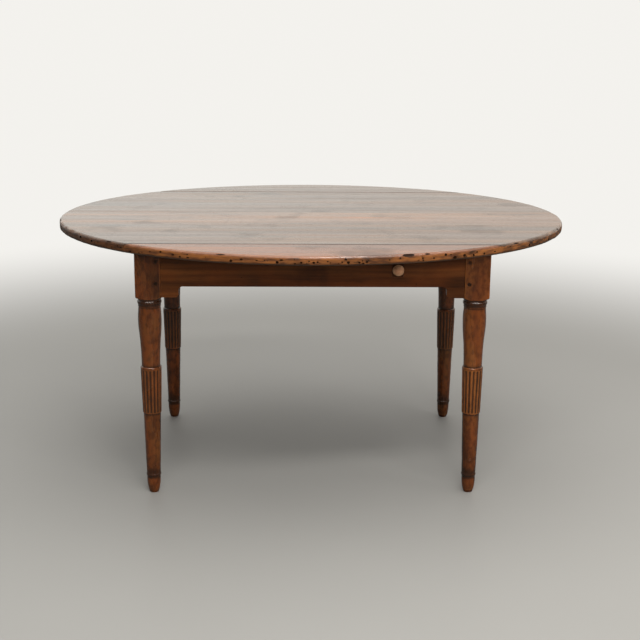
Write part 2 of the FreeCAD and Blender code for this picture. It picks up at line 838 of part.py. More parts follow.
def make_glue_blocks():
    """Makes the blocks glued into the angle between the aprons and the top."""
    level = (UNDERSIDE - S.block_side, UNDERSIDE)
    long_blocks = []
    end_blocks = []
    for side in (-1, 1):
        for end in (-1, 1):
            inner_y = between(APRON_INNER_Y * side, (APRON_INNER_Y - S.block_side) * side)
            long_blocks.append(box(about(LOPER_X / 2 * end, S.block_length), inner_y, level))
            inner_x = between(APRON_INNER_X * side, (APRON_INNER_X - S.block_side) * side)
            middle = (LEG_Y - HALF_BLOCK - S.end_block_inset) * end
            end_blocks.append(box(inner_x, about(middle, S.block_length), level))
    finish(group(long_blocks), "long_apron_blocks")
    finish(group(end_blocks), "end_apron_blocks")


def write_parts():
    """Checks the whole document, then writes each sub-part to its own file."""
    doc.recompute()
    for item in doc.Objects:
        if "Invalid" in item.State or "Error" in item.State:
            raise RuntimeError(f"{item.Label} failed: {item.State}")
    for name, item in nodes.items():
        if item.Shape.isNull() or not item.Shape.isValid() or not item.Shape.Solids:
            raise RuntimeError(f"{name} is not a valid solid")
    os.makedirs("parts", exist_ok=True)
    for name, item in nodes.items():
        item.Shape.exportStep(f"parts/{name}.step")
        print(f"{name}: {len(item.Shape.Solids)} solids, {item.Shape.Volume / 1000:.2f} cm3")


make_top(make_hinges(), make_battens())
make_legs()
make_aprons()
make_lopers()
make_glue_blocks()
write_parts()
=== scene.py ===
"""Looks of a worn oval drop-leaf table with turned and fluted legs.

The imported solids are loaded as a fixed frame. Boards, leaves, legs and knobs are modelled again with their
wear, and aprons, pegs and inner pieces with eased edges. All of these stand for their solids. Hinges, pins,
screws and the tongues between the boards keep their solids and get finishes.
"""

import functools
import json
import logging
import math
import random
from collections.abc import Callable, Iterable
from dataclasses import dataclass
from enum import Enum

import bmesh
import bpy
import numpy as np
from mathutils import Matrix, Vector

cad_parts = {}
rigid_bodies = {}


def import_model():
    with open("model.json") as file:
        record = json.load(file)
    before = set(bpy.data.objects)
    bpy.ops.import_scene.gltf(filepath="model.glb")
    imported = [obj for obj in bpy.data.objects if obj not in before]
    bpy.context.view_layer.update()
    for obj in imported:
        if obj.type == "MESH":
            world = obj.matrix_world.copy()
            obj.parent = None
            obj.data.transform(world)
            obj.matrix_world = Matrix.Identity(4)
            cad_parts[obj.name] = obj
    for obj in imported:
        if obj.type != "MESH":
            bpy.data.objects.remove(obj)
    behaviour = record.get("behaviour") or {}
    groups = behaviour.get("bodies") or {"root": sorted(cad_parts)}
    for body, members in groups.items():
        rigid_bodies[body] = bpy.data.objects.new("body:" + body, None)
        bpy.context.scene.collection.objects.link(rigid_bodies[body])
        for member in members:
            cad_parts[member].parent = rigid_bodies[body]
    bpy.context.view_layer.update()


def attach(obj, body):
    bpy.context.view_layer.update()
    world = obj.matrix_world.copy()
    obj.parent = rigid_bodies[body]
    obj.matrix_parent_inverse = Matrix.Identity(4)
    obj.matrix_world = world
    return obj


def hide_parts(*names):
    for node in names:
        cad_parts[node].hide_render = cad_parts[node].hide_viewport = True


LOG = logging.getLogger("table")
Colour = tuple[float, float, float]
Point = tuple[float, float, float]
Station = tuple[float, float]
Piece = bpy.types.Object
Material = bpy.types.Material
Tree = bpy.types.NodeTree
Socket = bpy.types.NodeSocket
Source = Socket | float | tuple
# Cloud value that leaves a worn surface where it is.
STILL_LEVEL = 0.62
# Depth of the heart of the tree below the grain's origin, in metres.
PITH_DEPTH = 0.11
# Distance that counts as none, in metres.
FLAT_REACH = 1e-6


class Grain(Enum):
    """Direction of the grain, as the turn that lays it along X."""

    ALONG_X = (0.0, 0.0, 0.0)
    ALONG_Y = (0.0, 0.0, -math.pi / 2)
    ALONG_Z = (0.0, math.pi / 2, 0.0)


class Kind(Enum):
    """What a selection in edit mode takes."""

    EDGE = "EDGE"
    FACE = "FACE"


class Bench:
    """Holds one mesh piece while operators shape it."""

    def __init__(self, piece: Piece) -> None:
        """Take a piece as the only selected object."""
        self.piece = piece
        bpy.ops.object.select_all(action="DESELECT")
        piece.select_set(True)
        bpy.context.view_layer.objects.active = piece

    def open(self, kind: Kind) -> None:
        """Start editing edges or faces."""
        bpy.context.tool_settings.mesh_select_mode = (False, kind is Kind.EDGE, kind is Kind.FACE)
        bpy.ops.object.mode_set(mode="EDIT")

    def shut(self) -> None:
        """Stop editing."""
        bpy.ops.object.mode_set(mode="OBJECT")

    def pick_edges(self, test: Callable[[Vector, Vector], bool]) -> None:
        """Select the edges that pass a test.

        Args:
            test: Takes the middle of an edge and the vector along it.
        """
        bpy.context.tool_settings.mesh_select_mode = (False, True, False)
        mesh = bmesh.from_edit_mesh(self.piece.data)
        mesh.select_mode = {Kind.EDGE.value}
        for element in (*mesh.verts, *mesh.edges, *mesh.faces):
            element.select = False
        for edge in mesh.edges:
            first, second = (vertex.co for vertex in edge.verts)
            if test((first + second) / 2, second - first):
                edge.select_set(True)
        mesh.select_flush_mode()
        bmesh.update_edit_mesh(self.piece.data)

    def modify(self, kind: str, **settings: object) -> None:
        """Add a modifier with its settings and apply it."""
        modifier = self.piece.modifiers.new(kind.lower(), kind)
        for name, value in settings.items():
            setattr(modifier, name, value)
        bpy.context.view_layer.objects.active = self.piece
        bpy.ops.object.modifier_apply(modifier=modifier.name)

    def close_mesh(self) -> None:
        """Merge doubles and turn the faces outwards."""
        self.open(Kind.FACE)
        bpy.ops.mesh.select_all(action="SELECT")
        bpy.ops.mesh.remove_doubles(threshold=FLAT_REACH)
        bpy.ops.mesh.normals_make_consistent(inside=False)
        self.shut()

    def smooth(self, degrees: float) -> None:
        """Shade smooth up to an angle, with large flat faces kept flat."""
        bpy.ops.object.shade_smooth_by_angle(angle=math.radians(degrees), keep_sharp_edges=True)
        self.modify("WEIGHTED_NORMAL", keep_sharp=True, weight=100)

    def dent(self, grain_size: float, depth: float, group: str = "") -> None:
        """Wear the surface unevenly.

        Args:
            grain_size: Size of the hollows, in metres.
            depth: Depth from the highest to the lowest places, in metres.
            group: Vertex group that limits the wear.
        """
        clouds = bpy.data.textures.new("wear_clouds", "CLOUDS")
        clouds.noise_scale = grain_size
        clouds.noise_depth = 2
        self.modify(
            "DISPLACE",
            texture=clouds,
            texture_coords="LOCAL",
            strength=depth,
            mid_level=STILL_LEVEL,
            vertex_group=group,
        )


def copy_piece(piece: Piece, name: str) -> Piece:
    """Copy a piece with its own mesh, under a new name."""
    copied = piece.copy()
    copied.data = piece.data.copy()
    copied.name = copied.data.name = name
    bpy.context.scene.collection.objects.link(copied)
    return copied


def seat(piece: Piece, body: str, node: str) -> None:
    """Let a finished piece ride on a body in place of its solid, and report it.

    Args:
        piece: The finished piece.
        body: Body it moves with.
        node: Solid it stands for.
    """
    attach(piece, body)
    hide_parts(node)
    LOG.info("%s: %d faces", piece.name, len(piece.data.polygons))


def arc(start: Station, end: Station, radius: float, bulge: int, count: int) -> list[Station]:
    """Sample an arc of a turned outline, without its first point.

    Args:
        start: Radius and height of its lower end.
        end: Radius and height of its upper end.
        radius: Radius of the arc.
        bulge: 1 where it swells outwards, -1 where it is hollow.
        count: Number of points.

    Returns:
        Points as radius and height.
    """
    low, high = Vector(start), Vector(end)
    chord = high - low
    half = chord.length / 2
    out = Vector((chord.y, -chord.x)).normalized() * bulge
    centre = (low + high) / 2 - out * math.sqrt(radius * radius - half * half)
    sweep = 2 * math.asin(half / radius) * bulge
    spoke = low - centre
    points = []
    for step in range(1, count + 1):
        turn = sweep * step / count
        across = spoke.x * math.cos(turn) - spoke.y * math.sin(turn)
        up = spoke.x * math.sin(turn) + spoke.y * math.cos(turn)
        points.append((centre.x + across, centre.y + up))
    return points


def run(start: Station, end: Station, count: int) -> list[Station]:
    """Sample a straight run of a turned outline, without its first point."""
    return [
        (start[0] + (end[0] - start[0]) * step / count, start[1] + (end[1] - start[1]) * step / count)
        for step in range(1, count + 1)
    ]


def sweep_between(start: Station, end: Station, slopes: tuple[float, float], count: int) -> list[Station]:
    """Sample a smooth run of a turned outline, without its first point.

    Args:
        start: Radius and height of its lower end.
        end: Radius and height of its upper end.
        slopes: Change of radius with height at the two ends.
        count: Number of points.

    Returns:
        Points as radius and height.
    """
    rise = end[1] - start[1]
    points = []
    for step in range(1, count + 1):
        share = step / count
        radius = start[0] + (end[0] - start[0]) * share * share * (3 - 2 * share)
        radius += rise * slopes[0] * share * (1 - share) ** 2
        radius -= rise * slopes[1] * share * share * (1 - share)
        points.append((radius, start[1] + rise * share))
    return points


def turn_on_lathe(name: str, stations: list[Station], steps: int) -> Piece:
    """Turn a closed solid about Z by extruding a disc from station to station.

    Args:
        name: Name of the piece.
        stations: Radius and height of each ring, upwards, in metres.
        steps: Number of points in a ring.

    Returns:
        The turned piece.
    """
    radius, height = stations[0]
    bpy.ops.object.select_all(action="DESELECT")
    bpy.ops.mesh.primitive_circle_add(
        vertices=steps, radius=radius, fill_type="NGON", location=(0, 0, height)
    )
    piece = bpy.context.active_object
    piece.name = piece.data.name = name
    bench = Bench(piece)
    bpy.ops.object.transform_apply(location=True, rotation=True, scale=True)
    bench.open(Kind.FACE)
    bpy.ops.mesh.select_all(action="SELECT")
    for (last_radius, last_height), (next_radius, next_height) in zip(stations, stations[1:]):
        share = next_radius / last_radius
        rise = (0, 0, next_height - last_height)
        bpy.ops.mesh.extrude_region_move(TRANSFORM_OT_translate={"value": rise})
        bpy.ops.transform.resize(value=(share, share, 1), center_override=(0, 0, next_height))
    bench.shut()
    bench.close_mesh()
    return piece


def mark_hollows(piece: Piece, reach: int, depth: float) -> None:
    """Store how hollow or proud each point is, as the attribute the finishes read.

    Args:
        piece: Piece with an even mesh.
        reach: Number of smoothing rounds, which sets how wide a hollow counts.
        depth: Depth in metres that counts as fully hollow.
    """
    mesh = piece.data
    points = np.empty(len(mesh.vertices) * 3)
    mesh.vertices.foreach_get("co", points)
    points = points.reshape(-1, 3)
    normals = np.array([vertex.normal for vertex in mesh.vertices])
    edges = np.empty(len(mesh.edges) * 2, dtype=np.int64)
    mesh.edges.foreach_get("vertices", edges)
    first, second = edges.reshape(-1, 2).T
    count = np.bincount(edges, minlength=len(points)).reshape(-1, 1)
    even = points.copy()
    for _ in range(reach):
        total = np.zeros_like(even)
        np.add.at(total, first, even[second])
        np.add.at(total, second, even[first])
        even = (even + total / np.maximum(count, 1)) / 2
    hollow = ((even - points) * normals).sum(axis=1) / depth
    # The carved marks bring in the painted shade and highlight of the flutes and the darker bands.
    carved = mesh.attributes.get("carved")
    if carved:
        values = np.empty(len(points))
        carved.data.foreach_get("value", values)
        hollow += values
        mesh.attributes.remove(carved)
    attribute = mesh.attributes.new("hollow", "FLOAT", "POINT")
    attribute.data.foreach_set("value", np.clip(hollow, -1, 1).astype(np.float32))


class Nodes:
    """Adds and links the nodes of one tree."""

    def __init__(self, tree: Tree) -> None:
        """Work on a tree."""
        self.tree = tree

    def add(
        self, kind: str, sources: dict[str | int, Source] | None = None, **settings: object
    ) -> bpy.types.Node:
        """Add a node.

        Args:
            kind: Node type, without its ShaderNode prefix.
            sources: What feeds its sockets: other sockets or constants.
            settings: Attributes of the node.

        Returns:
            The node.
        """
        node = self.tree.nodes.new("ShaderNode" + kind)
        for name, value in settings.items():
            setattr(node, name, value)
        for socket, source in (sources or {}).items():
            self.feed(node.inputs[socket], source)
        return node

    def feed(self, target: Socket, source: Source) -> None:
        """Link a socket to a source, or set its constant."""
        if isinstance(source, Socket):
            self.tree.links.new(source, target)
        elif isinstance(source, tuple) and target.type == "RGBA":
            target.default_value = (*source, 1.0)
        else:
            target.default_value = source

    def math(self, operation: str, first: Source, second: Source = 0.0) -> Socket:
        """Add a Math node and return its result."""
        return self.add("Math", {0: first, 1: second}, operation=operation).outputs[0]

    def length(self, vector: Source) -> Socket:
        """Measure a vector and return the result."""
        return self.add("VectorMath", {0: vector}, operation="LENGTH").outputs["Value"]

    def parts(self, vector: Source) -> bpy.types.bpy_prop_collection:
        """Part a vector into its three values."""
        return self.add("SeparateXYZ", {0: vector}).outputs

    def scaled(self, vector: Source, scale: Source) -> Socket:
        """Multiply a vector by another and return the result."""
        return self.add("VectorMath", {0: vector, 1: scale}, operation="MULTIPLY").outputs[0]

    def mix(self, share: Source, first: Source, second: Source, blend: str = "MIX") -> Socket:
        """Mix two colours and return the result."""
        node = self.add("Mix", {0: share, 6: first, 7: second}, data_type="RGBA", blend_type=blend)
        return node.outputs[2]

    def span(
        self, value: Source, low: float, high: float, to_low: float = 0.0, to_high: float = 1.0
    ) -> Socket:
        """Map a range of values smoothly to another.

        Args:
            value: What is mapped.
            low: Where the range begins.
            high: Where it ends.
            to_low: Result at and below its beginning.
            to_high: Result at and above its end.

        Returns:
            The result.
        """
        sources = {"Value": value, "From Min": low, "From Max": high, "To Min": to_low, "To Max": to_high}
        return self.add("MapRange", sources, interpolation_type="SMOOTHSTEP").outputs[0]

    def noise(self, vector: Source, scale: float, detail: float = 3.0) -> Socket:
        """Add a noise texture and return its value."""
        return self.add("TexNoise", {"Vector": vector, "Scale": scale, "Detail": detail}).outputs[0]

    def effect(self, kind: "Effect", **sources: Source) -> dict[str, Socket]:
        """Place a shared effect and return its outputs by name."""
        node = self.add("Group", sources, node_tree=kind.group())
        return {socket.name: socket for socket in node.outputs}


class Effect(Enum):
    """Surface effects that several finishes share, as node groups."""

    FIGURE = "wood_figure"
    DIRT = "old_dirt"
    WORM = "worm_specks"
    STAIN = "stain"

    def group(self) -> Tree:
        """Return the node group, built the first time it is asked for."""
        found = bpy.data.node_groups.get(self.value)
        return found or EFFECT_MAKERS[self](self.value)


def new_group(
    name: str, inputs: dict[str, str], outputs: Iterable[str]
) -> tuple[Nodes, dict[str, Socket], bpy.types.Node]:
    """Start a node group with named sockets.

    Args:
        name: Name of the group.
        inputs: Socket type of each input.
        outputs: Names of its values.

    Returns:
        Its node builder, its input sockets by name, and its output node.
    """
    tree = bpy.data.node_groups.new(name, "ShaderNodeTree")
    for label, kind in inputs.items():
        tree.interface.new_socket(label, in_out="INPUT", socket_type=kind)
    for label in outputs:
        tree.interface.new_socket(label, in_out="OUTPUT", socket_type="NodeSocketFloat")
    entry = tree.nodes.new("NodeGroupInput")
    leave = tree.nodes.new("NodeGroupOutput")
    return Nodes(tree), {socket.name: socket for socket in entry.outputs}, leave


def make_figure(name: str) -> Tree:
    """Build the wood figure: growth rings, streaks, fibres and pores, with the grain along X.

    Args:
        name: Name of the group.

    Returns:
        The node group.
    """
    kinds = {"Vector": "NodeSocketVector", "Ring Spacing": "NodeSocketFloat", "Waver": "NodeSocketFloat"}
    nodes, given, leave = new_group(name, kinds, ("Rings", "Streaks", "Fibres", "Pores"))
    place = given["Vector"]
    waver = nodes.noise(nodes.scaled(place, (0.9, 6.0, 6.0)), 1.0, 4.0)
    _, side, depth = nodes.parts(place)
    across = nodes.add("CombineXYZ", {1: side, 2: nodes.math("ADD", depth, PITH_DEPTH)}).outputs[0]
    turns = nodes.math("DIVIDE", nodes.length(across), given["Ring Spacing"])
    turns = nodes.math("ADD", turns, nodes.math("MULTIPLY", waver, given["Waver"]))
    wave = nodes.math("SINE", nodes.math("MULTIPLY", turns, 2 * math.pi))
    nodes.feed(leave.inputs["Rings"], nodes.span(wave, -0.2, 1.0))
    streaks = nodes.noise(nodes.scaled(place, (1.1, 20.0, 20.0)), 1.0, 5.0)
    nodes.feed(leave.inputs["Streaks"], nodes.span(streaks, 0.3, 0.7))
    fibres = nodes.noise(nodes.scaled(place, (9.0, 420.0, 420.0)), 1.0, 2.0)
    nodes.feed(leave.inputs["Fibres"], nodes.span(fibres, 0.3, 0.7))
    pores = nodes.noise(nodes.scaled(place, (45.0, 900.0, 900.0)), 1.0, 1.0)
    nodes.feed(leave.inputs["Pores"], nodes.span(pores, 0.62, 0.72))
    return nodes.tree


def make_dirt(name: str) -> Tree:
    """Build old dirt: blotches with soft edges that cover a share of the surface.

    Args:
        name: Name of the group.

    Returns:
        The node group.
    """
    kinds = {"Vector": "NodeSocketVector", "Scale": "NodeSocketFloat", "Cover": "NodeSocketFloat"}
    nodes, given, leave = new_group(name, kinds, ("Mask",))
    blotches = nodes.add("TexNoise", {"Vector": given["Vector"], "Scale": given["Scale"], "Detail": 6.0})
    edge = nodes.math("SUBTRACT", 1.0, given["Cover"])
    raised = nodes.math("SUBTRACT", blotches.outputs[0], nodes.span(edge, 0.0, 1.0, 0.25, 0.75))
    nodes.feed(leave.inputs["Mask"], nodes.span(raised, -0.06, 0.1))
    return nodes.tree


def make_worm(name: str) -> Tree:
    """Build the specks of small worm holes: round dots in a share of the cells of a random pattern.

    Args:
        name: Name of the group.

    Returns:
        The node group.
    """
    kinds = {"Vector": "NodeSocketVector", "Scale": "NodeSocketFloat", "Share": "NodeSocketFloat"}
    nodes, given, leave = new_group(name, kinds, ("Mask",))
    cells = nodes.add("TexVoronoi", {"Vector": given["Vector"], "Scale": given["Scale"]})
    dot = nodes.span(cells.outputs["Distance"], 0.1, 0.17, 1.0, 0.0)
    lot = nodes.add("SeparateColor", {0: cells.outputs["Color"]}).outputs[0]
    chosen = nodes.math("LESS_THAN", lot, given["Share"])
    nodes.feed(leave.inputs["Mask"], nodes.math("MULTIPLY", dot, chosen))
    return nodes.tree


def make_stain(name: str) -> Tree:
    """Build one stain or knot: an oval patch that fades out unevenly along the grain.

    Args:
        name: Name of the group.

    Returns:
        The node group.
    """
    kinds = {"Vector": "NodeSocketVector", "Place": "NodeSocketVector", "Reach": "NodeSocketVector"}
    nodes, given, leave = new_group(name, kinds, ("Mask",))
    spot = given["Vector"]
    away = nodes.add("VectorMath", {0: spot, 1: given["Place"]}, operation="SUBTRACT").outputs[0]
    away = nodes.add("VectorMath", {0: away, 1: given["Reach"]}, operation="DIVIDE").outputs[0]
    uneven = nodes.noise(nodes.scaled(spot, (14.0, 90.0, 90.0)), 1.0, 4.0)
    distance = nodes.math("ADD", nodes.length(away), nodes.span(uneven, 0.25, 0.75, -0.45, 0.45))
    nodes.feed(leave.inputs["Mask"], nodes.span(distance, 0.15, 1.0, 1.0, 0.0))
    return nodes.tree


EFFECT_MAKERS: dict[Effect, Callable[[str], Tree]] = {
    Effect.FIGURE: make_figure,
    Effect.DIRT: make_dirt,
    Effect.WORM: make_worm,
    Effect.STAIN: make_stain,
}


@dataclass(frozen=True)
class Stain:
    """A knot, stain or warm streak on the top, by its place and reach in metres."""

    x: float
    y: float
    long: float
    wide: float
    strength: float
    colour: Colour


@dataclass(frozen=True)
class WoodFinish:
    """An old waxed wood finish."""

    name: str
    dark: Colour
    middle: Colour
    light: Colour
    grain: Grain = Grain.ALONG_X
    seed: float = 0.0
    ring_spacing: float = 0.007
    waver: float = 3.0
    ring_depth: float = 0.35
    stretch: float = 1.0
    blush: Colour = (0.26, 0.062, 0.012)
    blush_depth: float = 0.0
    mottle: float = 0.0
    # Dark of dirt in blotches and pores, also the painted shade of hollows.
    dirt_and_shade_colour: Colour = (0.022, 0.011, 0.006)
    dirt_cover: float = 0.35
    dirt_depth: float = 0.5
    worm_share: float = 0.03
    dull: float = 0.5
    shiny: float = 0.3
    wax: float = 0.1
    wax_streaks: float = 0.0
    wax_roughness: float = 0.16
    gloss: float = 0.25
    # Near black inside worm holes: painted shade.
    hole_shade: Colour = (0.006, 0.004, 0.003)
    has_hollows: bool = False

    @functools.cache
    def material(self) -> Material:
        """Build the material the first time it is asked for.

        Returns:
            The material.
        """
        material = bpy.data.materials.new(self.name)
        material.use_nodes = True
        nodes = Nodes(material.node_tree)
        shader = material.node_tree.nodes["Principled BSDF"]
        place = nodes.add("TexCoord").outputs["Object"]
        turn, shift = self.grain.value, (self.seed, self.seed * 0.37, 0.0)
        along = nodes.add("Mapping", {"Vector": place, "Rotation": turn, "Location": shift}).outputs[0]
        figure = nodes.effect(
            Effect.FIGURE,
            Vector=nodes.scaled(along, (self.stretch, 1.0, 1.0)),
            **{"Ring Spacing": self.ring_spacing, "Waver": self.waver},
        )
        dirt = nodes.effect(Effect.DIRT, Vector=along, Scale=7.0, Cover=self.dirt_cover)["Mask"]
        worm = nodes.effect(Effect.WORM, Vector=place, Scale=90.0, Share=self.worm_share)["Mask"]
        colour = self.weathered(nodes, self.wood_colour(nodes, figure, along), place)
        colour = nodes.mix(nodes.math("MULTIPLY", dirt, self.dirt_depth), colour, self.dirt_and_shade_colour)
        # Hollows get dirt and painted shade, proud edges wear and painted highlight.
        if self.has_hollows:
            colour = self.wear_and_painted_light(nodes, colour)
        # Worm holes are painted near black, as painted shade inside them.
        nodes.feed(shader.inputs["Base Color"], nodes.mix(worm, colour, self.hole_shade))
        rough = nodes.math("MULTIPLY", figure["Streaks"], 0.6)
        rough = nodes.math("ADD", rough, nodes.math("MULTIPLY", dirt, 0.4))
        rough = nodes.span(rough, 0.0, 1.0, self.shiny, self.dull)
        handled = self.handled(nodes, place)
        if handled is None:
            shader.inputs["Coat Weight"].default_value = self.wax
        else:
            rough = nodes.math("ADD", rough, nodes.math("MULTIPLY", handled, 0.2))
            nodes.feed(shader.inputs["Coat Weight"], self.coat(nodes, along, handled))
        nodes.feed(shader.inputs["Roughness"], rough)
        shader.inputs["Specular IOR Level"].default_value = self.gloss
        shader.inputs["Coat Roughness"].default_value = self.wax_roughness
        height = self.relief(nodes, figure, place, worm)
        bump = nodes.add("Bump", {"Height": height, "Strength": 0.5, "Distance": 0.0003})
        nodes.feed(shader.inputs["Normal"], bump.outputs[0])
        return material

    def coat(self, nodes: Nodes, along: Socket, handled: Socket) -> Socket:
        """Lay the wax in streaks along the grain.

        Args:
            nodes: Builder of the material's tree.
            along: Place with the grain along X.
            handled: How far hands have worn the wax off.

        Returns:
            The weight of the wax.
        """
        left = nodes.math("SUBTRACT", self.wax, nodes.math("MULTIPLY", handled, self.wax * 0.8))
        streaks = nodes.noise(nodes.scaled(along, (1.1, 24.0, 1.0)), 1.0, 5.0)
        streaks = nodes.span(streaks, 0.32, 0.68, 1.0, 1.0 - self.wax_streaks)
        return nodes.math("MULTIPLY", left, streaks)

    @staticmethod
    def relief(nodes: Nodes, figure: dict[str, Socket], place: Socket, worm: Socket) -> Socket:
        """Raise fibres, rings and waves, and sink pores and worm holes.

        Args:
            nodes: Builder of the material's tree.
            figure: Outputs of the wood figure.
            place: Place on the table.
            worm: Where worm holes are.

        Returns:
            The height of the surface, in parts of the bump's distance.
        """
        height = nodes.math("SUBTRACT", nodes.math("MULTIPLY", figure["Fibres"], 0.3), figure["Pores"])
        height = nodes.math("ADD", height, nodes.math("MULTIPLY", figure["Rings"], 0.35))
        height = nodes.math("ADD", height, nodes.math("MULTIPLY", nodes.noise(place, 26.0), 2.2))
        return nodes.math("SUBTRACT", height, nodes.math("MULTIPLY", worm, 4.0))

    def wood_colour(self, nodes: Nodes, figure: dict[str, Socket], along: Socket) -> Socket:
        """Colour the wood figure, with reddish patches and dark mottles.

        Args:
            nodes: Builder of the material's tree.
            figure: Outputs of the wood figure.
            along: Place with the grain along X.

        Returns:
            The colour of the clean wood.
        """
        low = nodes.mix(nodes.span(figure["Streaks"], 0.0, 0.55), self.dark, self.middle)
        colour = nodes.mix(nodes.span(figure["Streaks"], 0.45, 1.0), low, self.light)
        colour = nodes.mix(nodes.math("MULTIPLY", figure["Rings"], self.ring_depth), colour, self.dark)
        colour = nodes.mix(nodes.math("MULTIPLY", figure["Fibres"], 0.22), colour, self.light)
        colour = nodes.mix(nodes.math("MULTIPLY", figure["Pores"], 0.6), colour, self.dirt_and_shade_colour)
        patches = nodes.span(nodes.noise(nodes.scaled(along, (0.45, 1.0, 1.0)), 20.0), 0.36, 0.66)
        colour = nodes.mix(nodes.math("MULTIPLY", patches, self.blush_depth), colour, self.blush)
        mottles = nodes.noise(nodes.scaled(along, (0.6, 1.0, 1.0)), 85.0, 4.0)
        return nodes.mix(nodes.span(mottles, 0.42, 0.66, 0.0, self.mottle), colour, self.dark)

    def weathered(self, nodes: Nodes, colour: Socket, place: Socket) -> Socket:
        """Return the colour with what this piece's place did to it; plain wood keeps its colour."""
        return colour

    def handled(self, nodes: Nodes, place: Socket) -> Socket | None:
        """Return how far hands have worn the wax off; plain wood keeps all of it."""
        return None

    def wear_and_painted_light(self, nodes: Nodes, colour: Socket) -> Socket:
        """Darken hollows with dirt and painted shade; lighten proud edges with wear and painted highlight.

        Args:
            nodes: Builder of the material's tree.
            colour: Colour so far.

        Returns:
            The new colour.
        """
        hollow = nodes.add("Attribute", attribute_name="hollow").outputs["Fac"]
        wear_and_painted_light = tuple(min(1.0, part * 1.35) for part in self.light)
        colour = nodes.mix(nodes.span(hollow, 0.1, 0.9, 0.0, 0.85), colour, self.dirt_and_shade_colour)
        return nodes.mix(nodes.span(hollow, -0.9, -0.2, 0.4, 0.0), colour, wear_and_painted_light)


